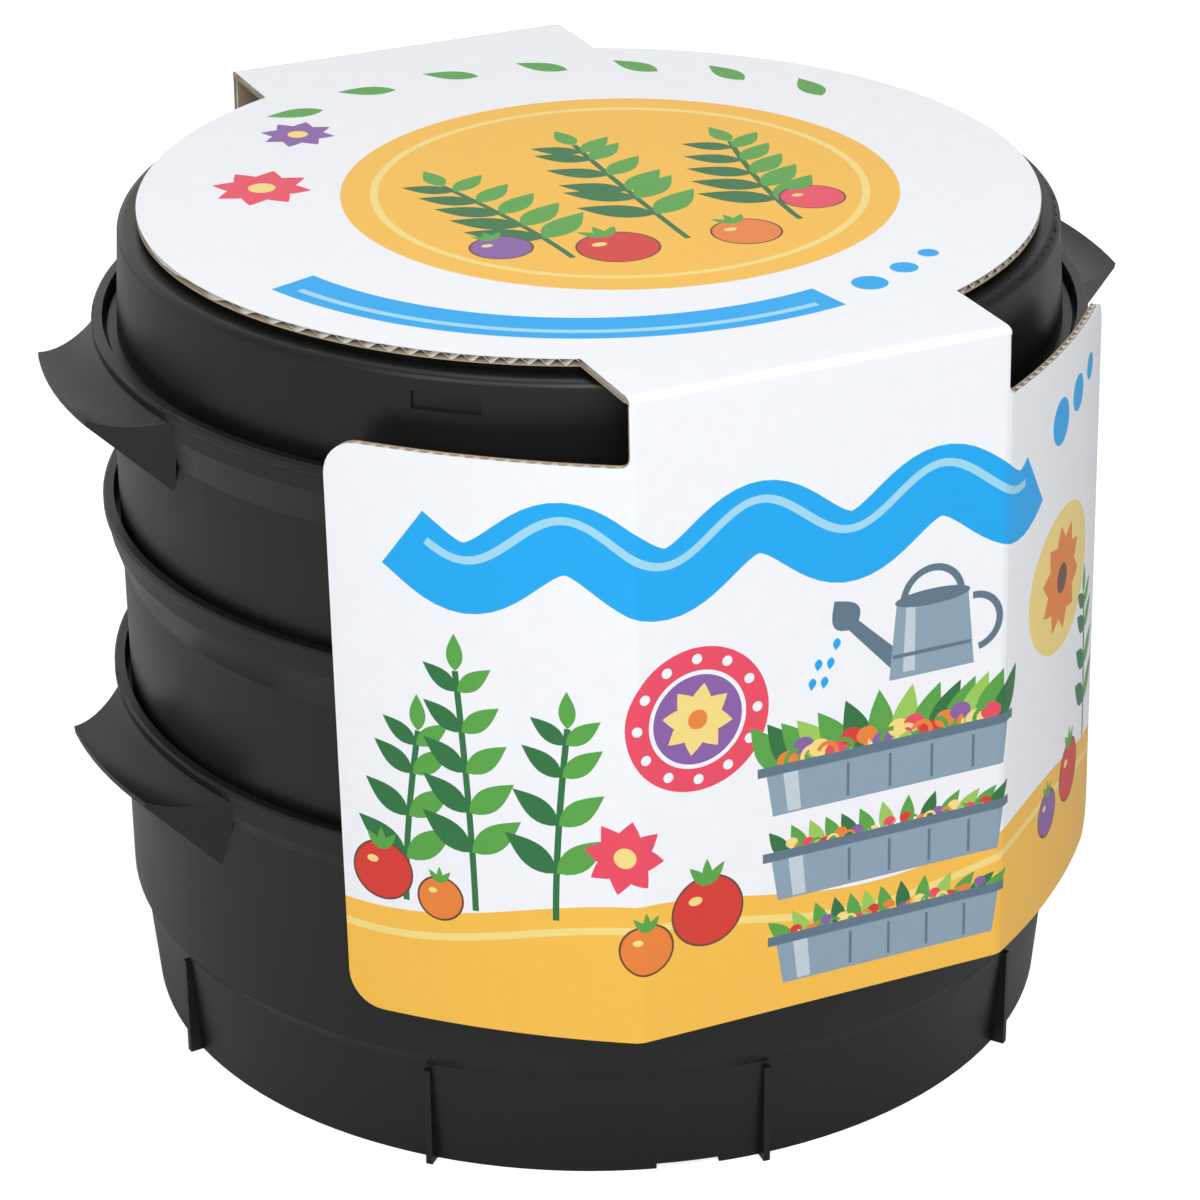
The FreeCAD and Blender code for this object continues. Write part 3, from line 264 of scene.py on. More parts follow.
def raised(tree, shader, height, strength, depth):
    """Gives a shader a bump of a depth in millimetres."""
    inputs = {"Height": height, "Strength": strength, "Distance": depth * MM}
    fill(tree, shader, {"Normal": new_node(tree, "ShaderNodeBump", inputs).outputs["Normal"]})


def moulded_polypropylene(name, colour, rough, grain):
    """Injection-moulded polypropylene with recycled content: near black and satin.
    The eye sees a fine moulded grain, faint flow streaks and a little grey dust."""
    material, tree, shader = new_material(name)
    place = piece_place(tree)
    # Streaks run round the wall; 35 mm wide in reality
    streak = clouds(tree, drawn_out(tree, place, Scale=(0.35, 0.35, 1.0)), 35, 4.0, 0.6)
    # Dust and rubbing show as specks of about 3 mm
    speck = clouds(tree, place, 3, 5.0, 0.7)
    streaked = mixed_colour(tree, streak, tone(colour, 0.8), tone(colour, 1.25))
    dust = ranged(tree, speck, 0.0, 0.025, 0.56, 0.78)
    dusted = mixed_colour(tree, dust, streaked, (*linear("#8B8680"), 1))
    gloss = ranged(tree, streak, rough - 0.05, rough + 0.05, 0.3, 0.7)
    fill(tree, shader, {"Base Color": dusted, "Roughness": gloss, "IOR": 1.49})
    # Spark-eroded grain is about 0.3 mm; drawn coarser so that it shows
    raised(tree, shader, clouds(tree, place, grain, 2.0), 0.25, 0.05)
    return material


def printed_board(name):
    """White-top liner printed by offset: smooth paper with a light sheen.
    The eye sees faint ribs where the flutes show through, and paper mottle."""
    material, tree, shader = new_material(name)
    ink = new_node(tree, "ShaderNodeVertexColor", layer_name="ink").outputs["Color"]
    flat = new_node(tree, "ShaderNodeUVMap", uv_map="board").outputs["UV"]
    place = piece_place(tree)
    mottle = clouds(tree, place, 9, 5.0, 0.65)
    paper = ranged(tree, mottle, 0.965, 1.0, 0.3, 0.7)
    shaded = mixed_colour(tree, 1.0, ink, paper, blend_type="MULTIPLY")
    gloss = ranged(tree, mottle, 0.36, 0.46, 0.3, 0.7)
    fill(tree, shader, {"Base Color": shaded, "Roughness": gloss, "IOR": 1.45})
    across = new_node(tree, "ShaderNodeSeparateXYZ", {"Vector": flat}).outputs["X"]
    turn = calculated(tree, "MULTIPLY", across, 2 * math.pi / settings().board.flute_pitch)
    rib = calculated(tree, "SINE", turn)
    height = calculated(tree, "ADD", rib, clouds(tree, place, 1.1, 3.0))
    raised(tree, shader, height, 0.3, 0.03)
    return material


def kraft_paper(name, colour, fibre_length):
    """Uncoated kraft paper: matte brown with short darker and paler fibres."""
    material, tree, shader = new_material(name)
    drawn = drawn_out(tree, piece_place(tree), Scale=(1.0, 0.25, 0.25))
    fibre = clouds(tree, drawn, fibre_length, 6.0, 0.7)
    fibrous = mixed_colour(tree, fibre, tone(colour, 0.72), tone(colour, 1.25))
    fill(tree, shader, {"Base Color": fibrous, "Roughness": 0.85, "IOR": 1.5})
    raised(tree, shader, fibre, 0.35, 0.05)
    return material


def moulded_rubber(name, colour):
    """Moulded rubber: dull black with a bloom of slightly greyer patches."""
    material, tree, shader = new_material(name)
    place = piece_place(tree)
    bloom = mixed_colour(tree, clouds(tree, place, 4, 4.0), tone(colour, 1.0), tone(colour, 2.2))
    fill(tree, shader, {"Base Color": bloom, "Roughness": 0.78, "IOR": 1.52})
    raised(tree, shader, clouds(tree, place, 0.5, 2.0), 0.3, 0.04)
    return material


def pressed_coir(name, colour):
    """Pressed coconut fibre: rough red-brown dust crossed by paler threads."""
    material, tree, shader = new_material(name)
    place = piece_place(tree)
    crumb = clouds(tree, place, 4, 8.0, 0.75)
    # Fibres are 0.3 mm thick; drawn near 1 mm so that they show
    bent = drawn_out(tree, place, Rotation=(0.3, 0.2, 0.7), Scale=(0.12, 1, 1))
    thread = ranged(tree, clouds(tree, bent, 1.2, 3.0, bend=0.6), 0.0, 1.0, 0.56, 0.66)
    ground = mixed_colour(tree, crumb, tone(colour, 0.45), tone(colour, 1.4))
    threaded = mixed_colour(tree, thread, ground, (*linear("#B08A5A"), 1))
    fill(tree, shader, {"Base Color": threaded, "Roughness": 0.95})
    raised(tree, shader, calculated(tree, "ADD", crumb, thread), 0.7, 0.6)
    return material


# Shapes of the print, as closed outlines
LEAF_STEPS = 9
STEM_STEPS = 12


def round_shape(x, y, across, up=None, steps=48):
    """A circle or an oval."""
    up = across if up is None else up
    turns = [2 * math.pi * step / steps for step in range(steps)]
    return [(x + across * math.cos(turn), y + up * math.sin(turn)) for turn in turns]


def leaf_shape(x, y, length, width, angle):
    """A pointed leaf that starts at a point and grows in a direction."""
    points = []
    for side in (1, -1):
        for step in range(LEAF_STEPS):
            share = step / LEAF_STEPS if side > 0 else 1 - step / LEAF_STEPS
            half = width / 2 * math.sin(math.pi * share ** 0.8)
            points.append((share * length, side * half))
    cosine = math.cos(angle)
    sine = math.sin(angle)
    return [(x + a * cosine - b * sine, y + a * sine + b * cosine) for a, b in points]


def ribbon_shape(line, width):
    """A band of even width along a line of points."""
    left = []
    right = []
    for place, point in enumerate(line):
        before = Vector(line[max(place - 1, 0)])
        after = Vector(line[min(place + 1, len(line) - 1)])
        along = (after - before).normalized()
        aside = Vector((-along.y, along.x)) * width / 2
        left.append(tuple(Vector(point) + aside))
        right.append(tuple(Vector(point) - aside))
    return left + right[::-1]


def wave_line(start, end, level, rise, length, shift=0.0, steps=60):
    """Points of a wave from one end to the other."""
    made = []
    for step in range(steps + 1):
        x = start + (end - start) * step / steps
        made.append((x, level + rise * math.sin(2 * math.pi * (x / length + shift))))
    return made


def arc_line(x, y, radius, start, end, steps=40):
    """Points of an arc between two angles in degrees."""
    turns = [math.radians(start + (end - start) * step / steps) for step in range(steps + 1)]
    return [(x + radius * math.cos(turn), y + radius * math.sin(turn)) for turn in turns]


def around(radius, degrees):
    """A point on a circle round the middle."""
    turn = math.radians(degrees)
    return radius * math.cos(turn), radius * math.sin(turn)


def in_metres(layers):
    """Turns print layers from millimetres into metres."""
    return [(ink, [(x * MM, y * MM) for x, y in shape]) for ink, shape in layers]


def flower(x, y, radius, petals, ink, heart):
    """A flower of round-ended petals with a heart."""
    made = [
        (ink, leaf_shape(x, y, radius, radius * 0.62, 2 * math.pi * number / petals + 0.2))
        for number in range(petals)
    ]
    return made + [(heart, round_shape(x, y, radius * 0.27))]


def sprig(x, y, height, lean, pairs, size, down=True):
    """A stem with pairs of leaves that grows up the board from a foot point."""
    sign = -1 if down else 1
    line = [
        (x + lean * (step / STEM_STEPS) ** 1.6, y + sign * height * step / STEM_STEPS)
        for step in range(STEM_STEPS + 1)
    ]
    made = [("fir", ribbon_shape(line, 3.2))]
    for pair in range(pairs):
        share = 0.25 + 0.7 * pair / max(pairs - 1, 1)
        foot = line[round(share * STEM_STEPS)]
        long = size * (1.1 - 0.45 * share)
        for hand, ink in ((1, "leaf"), (-1, "fir")):
            angle = sign * math.radians(90 - hand * 52)
            made.append((ink, leaf_shape(*foot, long, long * 0.42, angle)))
    made.append(("leaf", leaf_shape(*line[-1], size * 0.6, size * 0.26, sign * math.pi / 2)))
    return made


def fruit(x, y, radius, ink, down=True):
    """A round fruit with a light spot and a green top."""
    sign = -1 if down else 1
    up = sign * radius
    made = [
        ("soil", round_shape(x, y, radius + 1.1)),
        (ink, round_shape(x, y, radius)),
        ("straw", round_shape(x - radius * 0.35, y + up * 0.35, radius * 0.2, radius * 0.13)),
    ]
    for degrees in (50, 90, 130):
        turn = sign * math.radians(degrees)
        made.append(("leaf", leaf_shape(x, y + up * 0.75, radius * 0.8, radius * 0.3, turn)))
    return made


def badge(x, y, radius):
    """A round badge: rose ring with white dots, white line and a plum middle with a flower."""
    made = [
        ("rose", round_shape(x, y, radius, steps=72)),
        ("white", round_shape(x, y, radius * 0.68, steps=64)),
        ("plum", round_shape(x, y, radius * 0.62, steps=64)),
    ]
    for turn in range(0, 360, 30):
        dot_x, dot_y = around(radius * 0.84, turn)
        made.append(("white", round_shape(x + dot_x, y + dot_y, radius * 0.07)))
    return made + flower(x, y, radius * 0.5, 8, "straw", "carrot")


def heap(x, y, half, rise, seed):
    """A low heap of cuttings and peelings: leaves behind, round pieces and curls in front."""
    made = []
    count = max(round(half / 4.5), 5)
    for number in range(count):
        share = number / (count - 1) - 0.5
        ink = ("leaf", "fir", "leaf", "sprout")[(number * 3 + seed) % 4]
        lean = -math.pi / 2 + share * 1.6 + 0.25 * math.sin(7.0 * number + seed)
        made.append((ink, leaf_shape(x + 1.8 * share * half, y + 2, rise, rise * 0.42, lean)))
    for number in range(count):
        share = number / (count - 1) - 0.5
        level = y - rise * (0.12 + 0.2 * (0.5 + 0.5 * math.sin(4.3 * number + 2 * seed)))
        ink = ("tomato", "straw", "carrot", "rose", "plum")[(2 * number + seed) % 5]
        aside = x + 1.75 * share * half
        made.append((ink, round_shape(aside, level, rise * 0.17, rise * 0.14, 20)))
    for number in range(count - 1):
        share = (number + 0.5) / (count - 1) - 0.5
        turn = 60 * number + 40 * seed
        aside = x + 1.75 * share * half
        curl = arc_line(aside, y - rise * 0.12, rise * 0.15, turn, turn + 210, 14)
        ink = ("straw", "carrot", "leaf")[(number + seed) % 3]
        made.append((ink, ribbon_shape(curl, rise * 0.07)))
    return made


def tray_stack(x, y, half, rise):
    """Three plain trays, one over the other, with a heap of cuttings in each."""
    made = []
    for level in range(3):
        foot = y - level * rise
        wide = half + level * 2.5
        top = foot - rise * 0.58
        made += heap(x, top + 3, wide - 4, rise * (0.42 if level < 2 else 0.72), level)
        body = [(x - wide + 4, foot), (x + wide - 4, foot), (x + wide, top), (x - wide, top)]
        left = x - wide
        right = x + wide
        shine = [(left + 12, foot - 1), (left + 19, foot - 1), (left + 17, top), (left + 9, top)]
        rim = [(left - 4, top + 5), (right + 4, top + 5), (right + 4, top), (left - 4, top)]
        made += [("slate", body), ("mist", shine), ("steel", rim)]
        for share in (-0.34, 0.0, 0.34, 0.68):
            rib = x + share * wide
            made.append(("steel", ribbon_shape([(rib, foot - 2), (rib, top + 7)], 1.5)))
    return made


def watering_can(x, y, wide):
    """A watering can with its spout to the left and drops under the rose."""
    tall = wide * 0.86

    def shares(*points):
        return [(x + wide * across, y - tall * up) for across, up in points]

    body = shares((-0.5, 0), (0.5, 0), (0.42, 1), (-0.42, 1))
    edge = 3 / tall
    shine = shares((-0.34, edge), (-0.2, edge), (-0.2, 1 - edge), (-0.31, 1 - edge))
    spout = shares((-0.45, 0.12), (-0.43, 0.42), (-0.98, 1.02), (-1.08, 0.92))
    grip = arc_line(x + wide * 0.5, y - tall * 0.55, wide * 0.3, -95, 80, 24)
    bow = arc_line(x, y - tall * 0.98, wide * 0.34, 180, 360, 24)
    rose = shares((-0.9, 0.8))[0]
    made = [
        ("steel", ribbon_shape(grip, wide * 0.08)),
        ("steel", ribbon_shape(bow, wide * 0.08)),
        ("steel", spout),
        ("slate", body),
        ("mist", shine),
        ("steel", round_shape(x, y - tall, wide * 0.44, wide * 0.09, 40)),
        ("steel", leaf_shape(*rose, wide * 0.42, wide * 0.34, math.radians(-125))),
        ("steel", ribbon_shape(shares((-0.46, 0.3), (0.46, 0.3)), 2)),
    ]
    fall = math.radians(100)
    for number in range(5):
        drop_x = x - wide * (1.1 + 0.07 * number)
        drop_y = y - tall * (0.72 - 0.16 * (number % 3)) + 3 * number
        made.append(("blue", leaf_shape(drop_x, drop_y, wide * 0.14, wide * 0.09, fall)))
    return made


def ground(level, length, shift):
    """The amber ground at a panel's foot, with a straw line in it."""
    top = wave_line(-255, 255, level, 8, length, shift)
    line = wave_line(-255, 255, level + 13, 8, length, shift)
    return [("amber", top + [(255, 345), (-255, 345)]), ("straw", ribbon_shape(line, 4))]


def front_print():
    """The front panel's print: across in mm from the middle, down in mm from the crease."""
    made = ground(266, 250, 0.15)
    made.append(("blue", ribbon_shape(wave_line(-208, 128, 82, 12, 96, 0.1, 90), 36)))
    made.append(("sky", ribbon_shape(wave_line(-196, 116, 73, 12, 96, 0.1, 90), 4)))
    for number, x in enumerate((162, 190, 214)):
        made.append(("blue", round_shape(x, 70 - 5 * number, 12 - 2.5 * number)))
    for x, height, lean, pairs in ((-214, 92, 10, 4), (-178, 126, -6, 5), (-138, 102, 8, 4)):
        made += sprig(x, 268, height, lean, pairs, 32)
    made += fruit(-226, 254, 15, "tomato")
    made += fruit(-196, 264, 11, "carrot")
    made += badge(-66, 166, 37)
    made += watering_can(58, 168, 46)
    made += tray_stack(36, 318, 62, 46)
    made += fruit(-62, 268, 18, "tomato")
    made += fruit(-94, 282, 13, "carrot")
    made += flower(-104, 232, 20, 8, "rose", "straw")
    made.append(("straw", round_shape(170, 156, 46, 38, 60)))
    made += flower(170, 156, 29, 10, "carrot", "soil")
    made += sprig(224, 268, 84, -8, 4, 28)
    made += fruit(192, 272, 16, "tomato")
    made += fruit(156, 280, 12, "plum")
    return in_metres(made)


def back_print():
    """The back panel's print."""
    made = ground(268, 240, 0.3)
    made.append(("blue", ribbon_shape(wave_line(-150, 205, 82, 12, 110, 0.4, 80), 34)))
    made.append(("sky", ribbon_shape(wave_line(-140, 195, 74, 12, 110, 0.4, 80), 4)))
    sprigs = ((-200, 110, 8, 4), (-98, 128, -8, 5), (112, 118, 8, 5), (214, 92, -6, 4))
    for x, height, lean, pairs in sprigs:
        made += sprig(x, 272, height, lean, pairs, 32)
    made += badge(-12, 172, 38)
    made += watering_can(42, 276, 52)
    fruits = ((-154, 16, "tomato"), (-124, 12, "carrot"), (150, 16, "plum"), (180, 13, "tomato"))
    for x, radius, ink in fruits:
        made += fruit(x, 268, radius, ink)
    made += flower(-148, 152, 24, 8, "rose", "straw")
    made += flower(164, 160, 22, 8, "carrot", "soil")
    return in_metres(made)


def top_print():
    """The top disc's print: across and back in mm from the middle."""
    made = [
        ("amber", round_shape(14, -8, 142, steps=96)),
        ("straw", round_shape(14, -8, 127, steps=96)),
        ("amber", round_shape(14, -8, 123, steps=96)),
        ("blue", ribbon_shape(arc_line(0, 0, 192, 198, 282), 26)),
        ("sky", ribbon_shape(arc_line(0, 0, 196, 201, 279), 4)),
    ]
    for turn in (290, 298, 305):
        made.append(("blue", round_shape(*around(192, turn), 9 - (turn - 290) / 4)))
    for x, height, lean, pairs in ((-48, 122, -18, 5), (14, 150, 6, 6), (76, 120, 20, 5)):
        made += sprig(x, -88, height, lean, pairs, 42, down=False)
    fruits = (
        (-22, -84, 20, "tomato"),
        (44, -92, 17, "carrot"),
        (96, -62, 16, "rose"),
        (-74, -60, 15, "plum"),
    )
    for x, y, radius, ink in fruits:
        made += fruit(x, y, radius, ink, down=False)
    made += flower(-150, 72, 26, 8, "rose", "straw")
    made += flower(-104, 142, 20, 8, "plum", "straw")
    for turn in range(24, 118, 15):
        made.append(("leaf", leaf_shape(*around(190, turn), 32, 14, math.radians(turn + 62))))
    return in_metres(made)


# Board: two flat liners with a fluted paper between them
SAME_POINT = 1e-7  # metres: points closer than this are one
EDGE_INSET = 0.5 * MM  # from a board's edge to the fluted paper
FLUTE_STEPS = 10  # in one pitch of the flutes
PRINTED, KRAFT, FLUTING = range(3)  # places of the materials on a board

# Creases between the necks and the panels
CREASE_TRIM = 1.6 * MM  # from the crease back to the flat neck
CREASE_DROP = 3.4 * MM  # from the crease down to the flat panel
NECK_CRUSH = 0.2 * MM  # from the neck's underside up to the fold's inside
PANEL_CRUSH = 0.4 * MM  # from the panel's inside out to the fold's inside
CREASE_STEPS = 8
CREASE_COLUMNS = 28

# Panels and their side folds
NECK_CORNER = 5.0 * MM  # round corner between a panel's middle and a flap's top
FOLD_PRESS = 0.3 * MM  # how deep a side fold is pressed in
FOLD_PRESS_REACH = 1.3 * MM  # how far that reaches to either side
FOLD_CUTS = (-3, -2, -1.3, -0.7, 0, 0.7, 1.3, 2, 3)  # mm from a side fold
CUT_SPACING = 5.0 * MM  # between the cuts where a flap bends
CUT_MARGIN = 1.0 * MM  # past the foot, and at least this far from a flap's edge
BEND_STEP = 0.25 * MM  # between the points of a panel's line
BEND_MARGIN = 3.0 * MM  # how far that line runs past the wider flap


def new_piece(name, mesh, materials):
    """A mesh object in the scene with its materials."""
    piece = bpy.data.objects.new(name, mesh)
    bpy.context.scene.collection.objects.link(piece)
    for material in materials:
        mesh.materials.append(material)
    return piece


def smooth_piece(name, work, materials, limit=35.0):
    """Turns a built shape into a piece that is shaded smooth but for its sharp edges."""
    bmesh.ops.recalc_face_normals(work, faces=work.faces)
    work.normal_update()
    for face in work.faces:
        face.smooth = True
    for edge in work.edges:
        edge.smooth = edge.calc_face_angle(0.0) < math.radians(limit)
    mesh = bpy.data.meshes.new(name)
    work.to_mesh(mesh)
    work.free()
    return new_piece(name, mesh, materials)


def turned_left(shape):
    """Gives a closed shape's points in left-hand order, which the division below needs."""
    area = sum(a[0] * b[1] - b[0] * a[1] for a, b in zip(shape, shape[1:] + shape[:1]))
    return shape if area > 0 else shape[::-1]


def triangles(outline, layers, cuts):
    """Divides a board's outline along the print's shapes and along straight cuts.
    Gives the points and, for each triangle, its three points and its ink."""
    points = []
    faces = []
    inks = []
    for ink, shape in [("white", outline)] + layers:
        first = len(points)
        points += [Vector(point) for point in turned_left(shape)]
        faces.append(list(range(first, len(points))))
        inks.append(ink)
    edges = []
    for start, end in cuts:
        edges.append((len(points), len(points) + 1))
        points += [Vector(start), Vector(end)]
    found, _, shown, _, _, sources = delaunay_2d_cdt(points, edges, faces, 1, SAME_POINT)
    made = []
    for corners, inside in zip(shown, sources):
        if 0 in inside:
            made.append((list(corners), inks[max(inside)]))
    return found, made


def add_sheet(work, points, faces, place, outer, inner, printed):
    """Adds one flat liner to a board: its two faces and its cut edge."""
    colours = work.loops.layers.float_color["ink"]
    flat = work.loops.layers.uv["board"]
    rows = []
    for depth in (outer, inner):
        rows.append([work.verts.new(place(point[0], point[1], depth)) for point in points])
    borders = {}
    for corners, ink in faces:
        for row, order in ((rows[0], corners), (rows[1], corners[::-1])):
            face = work.faces.new([row[corner] for corner in order])
            on_show = printed and row is rows[0]
            face.material_index = PRINTED if on_show else KRAFT
            shade = INKS[ink if on_show else "kraft"]
            for loop, corner in zip(face.loops, order):
                loop[colours] = (*shade, 1)
                loop[flat].uv = points[corner][:2]
        for side in range(3):
            pair = (corners[side], corners[(side + 1) % 3])
            if pair[::-1] in borders:
                del borders[pair[::-1]]
            else:
                borders[pair] = True
    for start, end in borders:
        order = [rows[0][end], rows[0][start], rows[1][start], rows[1][end]]
        face = work.faces.new(order)
        face.material_index = PRINTED if printed else KRAFT
        for loop, corner in zip(face.loops, (end, start, start, end)):
            loop[colours] = (*INKS["white" if printed else "kraft"], 1)
            loop[flat].uv = points[corner][:2]


def add_flutes(work, columns, place, outer, inner):
    """Adds the fluted paper: a wave across the board, from one end of each column to the other."""
    board = settings().board
    colours = work.loops.layers.float_color["ink"]
    middle = (outer + inner) / 2
    swing = (inner - outer - board.flute_skin) / 2
    rows = []
    for across, spans in columns:
        depth = middle + swing * math.cos(2 * math.pi * across / board.flute_pitch)
        row = []
        for half in (-board.flute_skin / 2, board.flute_skin / 2):
            for end in spans:
                row.append(work.verts.new(place(across, end, depth + half)))
        rows.append(row)
    for before, after in zip(rows, rows[1:]):
        corners = [
            (before[0], before[1], after[1], after[0]),
            (before[3], before[2], after[2], after[3]),
            (before[2], before[0], after[0], after[2]),
            (before[1], before[3], after[3], after[1]),
        ]
        for four in corners:
            face = work.faces.new(four)
            face.material_index = FLUTING
            for loop in face.loops:
                loop[colours] = (*INKS["oat"], 1)


def board_piece(name, outline, layers, cuts, columns, place, materials):
    """One piece of corrugated board, printed on its outside."""
    liner = settings().board.liner
    inside = BOARD_THICKNESS - liner
    work = bmesh.new()
    work.loops.layers.float_color.new("ink")
    work.loops.layers.uv.new("board")
    points, faces = triangles(outline, layers, cuts)
    add_sheet(work, points, faces, place, 0.0, liner, True)
    plain_points, plain_faces = triangles(outline, [], cuts)
    add_sheet(work, plain_points, plain_faces, place, inside, BOARD_THICKNESS, False)
    add_flutes(work, columns, place, liner, inside)
    bmesh.ops.remove_doubles(work, verts=work.verts, dist=SAME_POINT)
    return smooth_piece(name, work, materials)


def top_outline():
    """The disc with its two necks, which end just short of the creases."""
    board = settings().board
    half = board.neck_half
    end = CREASE_Y - CREASE_TRIM
    clear = math.degrees(math.asin(half / board.disc_radius))
    right = arc_line(0, 0, board.disc_radius, -90 + clear, 90 - clear, 120)
    left = arc_line(0, 0, board.disc_radius, 90 + clear, 270 - clear, 120)
    return [(-half, -end), (half, -end)] + right + [(half, end), (-half, end)] + left


def top_place(x, y, depth):
    """A point of the top board, by its depth under the printed face."""
    return Vector((x, y, TOP_HIGH.z - depth))


def top_columns():
    """Where each line of the fluted paper starts and ends; the flutes run from front to back."""
    board = settings().board
    reach = board.disc_radius - EDGE_INSET
    count = round(2 * reach / board.flute_pitch * FLUTE_STEPS)
    made = []
    for step in range(count + 1):
        x = reach * (2 * step / count - 1)
        half = math.sqrt(max(reach * reach - x * x, 1e-8))
        if abs(x) < board.neck_half - EDGE_INSET:
            half = CREASE_Y - CREASE_TRIM - EDGE_INSET
        made.append((x, (-half, half)))
    return made


def bend_table():
    """The line of a panel's outside, from its middle past a flap's edge: place and direction."""
    board = settings().board
    end = board.neck_half + max(board.front_reach, board.back_reach) + BEND_MARGIN
    across = 0.0
    x = 0.0
    y = -BOARD_THICKNESS
    made = []
    while across <= end:
        into = (across - board.neck_half) / board.fold_round + 0.5
        fold = board.flap_turn * min(max(into, 0.0), 1.0)
        turn = fold + max(across - board.neck_half, 0.0) / board.flap_bend
        made.append((x, y, turn))
        x += BEND_STEP * math.cos(turn)
        y += BEND_STEP * math.sin(turn)
        across += BEND_STEP
    return made


def panel_placer(table, turned):
    """Gives the function that places a point of a panel in space."""
    board = settings().board
    lean = Matrix.Rotation(-board.lean, 3, "X")
    spin = Matrix.Rotation(math.pi if turned else 0.0, 3, "Z")
    crease = Vector((0, -CREASE_Y, TOP_HIGH.z))

    def place(across, down, depth):
        reach = abs(across) / BEND_STEP
        before = min(int(reach), len(table) - 2)
        share = reach - before
        x, y, turn = [a + (b - a) * share for a, b in zip(table[before], table[before + 1])]
        # The scored fold is pressed in a little
        gap = (abs(across) - board.neck_half) / FOLD_PRESS_REACH
        depth += FOLD_PRESS * math.exp(-gap * gap) * (1 - depth / BOARD_THICKNESS)
        x -= depth * math.sin(turn)
        y += depth * math.cos(turn)
        local = Vector((math.copysign(x, across), y, -down))
        return spin @ (lean @ local + crease)

    return place


def panel_outline(reach):
    """A panel laid flat: across from the middle, down from the crease."""
    board = settings().board
    half = board.neck_half
    end = half + reach
    top = board.flap_drop
    foot = board.panel_drop
    corner = board.corner
    right = [(half, CREASE_DROP), (half, top - NECK_CORNER)]
    for turn in (22, 45, 68):
        aside, down = around(NECK_CORNER, turn)
        right.append((half + NECK_CORNER - aside, top - NECK_CORNER + down))
    right.append((half + NECK_CORNER, top))
    right += arc_line(end - corner, top + corner, corner, -90, 0, 8)
    right += arc_line(end - corner, foot - corner, corner, 0, 90, 8)
    left = [(-across, down) for across, down in right[::-1]]
    return left[-1:] + right + left[:-1]


def panel_cuts(reach):
    """Upright cuts where a panel bends, close together in its folds."""
    board = settings().board
    end = board.neck_half + reach
    places = [board.neck_half + shift * MM for shift in FOLD_CUTS]
    count = int(reach / CUT_SPACING)
    places += [board.neck_half + reach * number / count for number in range(1, count)]
    return [
        ((sign * place, 0.0), (sign * place, board.panel_drop + CUT_MARGIN))
        for place in places
        for sign in (1, -1)
        if place < end - CUT_MARGIN
    ]


def panel_columns(reach):
    """Where each line of a panel's fluted paper starts and ends; the flutes hang down."""
    board = settings().board
    end = board.neck_half + reach - EDGE_INSET
    count = round(2 * end / board.flute_pitch * FLUTE_STEPS)
    made = []
    for step in range(count + 1):
        across = end * (2 * step / count - 1)
        in_middle = abs(across) < board.neck_half - EDGE_INSET
        top = BOARD_THICKNESS if in_middle else board.flap_drop + EDGE_INSET
        foot = board.panel_drop - EDGE_INSET
        into = abs(across) - (end + EDGE_INSET - board.corner)
        if into > 0:
            cut = board.corner - math.sqrt(max(board.corner ** 2 - into ** 2, 0.0))
            top += cut
            foot -= cut
        made.append((across, (top, foot)))
    return made


def crease_piece(name, place, turned, materials):
    """The rounded fold between a neck and a panel: liner outside, crushed flutes at its ends."""
    sign = -1 if turned else 1
    start = Vector((0, sign * -(CREASE_Y - CREASE_TRIM), TOP_HIGH.z))
    finish = place(0.0, CREASE_DROP, 0.0)
    corner = Vector((0, finish.y, TOP_HIGH.z))
    outside = []
    for number in range(CREASE_STEPS + 1):
        share = number / CREASE_STEPS
        early = start * (1 - share) ** 2
        outside.append(early + corner * 2 * share * (1 - share) + finish * share ** 2)
    inner = place(0.0, CREASE_DROP, BOARD_THICKNESS - PANEL_CRUSH)
    below = Vector((0, start.y, TOP_LOW.z + NECK_CRUSH))
    work = bmesh.new()
    colours = work.loops.layers.float_color.new("ink")
    flat = work.loops.layers.uv.new("board")
    ends = []
    for number in range(CREASE_COLUMNS + 1):
        x = settings().board.neck_half * (2 * number / CREASE_COLUMNS - 1)
        ends.append([work.verts.new((x, point.y, point.z)) for point in outside + [inner, below]])
    total = len(ends[0])
    for before, after in zip(ends, ends[1:]):
        for number in range(total):
            following = (number + 1) % total
            four = (before[number], before[following], after[following], after[number])
            face = work.faces.new(four)
            face.material_index = PRINTED if number < CREASE_STEPS else KRAFT
    for row in (ends[0][::-1], ends[-1]):
        face = work.faces.new(row)
        face.material_index = KRAFT
    for face in work.faces:
        for loop in face.loops:
            loop[colours] = (*INKS["white" if face.material_index == PRINTED else "kraft"], 1)
            loop[flat].uv = (loop.vert.co.x, loop.vert.co.z)
    return smooth_piece(name, work, materials), start, finish


def board_materials():
    """The printed face, the brown inside and the pale fluted paper of the board, made once."""
    found = bpy.data.materials
    return [
        found.get("printed_white_top_liner") or printed_board("printed_white_top_liner"),
        found.get("kraft_liner") or kraft_paper("kraft_liner", INKS["kraft"], 2.0),
        found.get("fluting_paper") or kraft_paper("fluting_paper", INKS["oat"], 1.4),
    ]


def give_material(node, material):
    """Puts a material on a node of the frame."""
    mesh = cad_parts[node].data
    mesh.materials.clear()
    mesh.materials.append(material)


class WORMBIN_OT_sleeve_top(bpy.types.Operator):
    """Builds the top disc of the sleeve with its two necks"""

    bl_idname = "wormbin.sleeve_top"
    bl_label = "Sleeve top"

    def execute(self, context):
        piece = board_piece(
            "sleeve_top_board",
            top_outline(),
            top_print(),
            [],
            top_columns(),
            top_place,
            board_materials(),
        )
        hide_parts("sleeve_top")
        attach(piece, "sleeve")
        return {"FINISHED"}


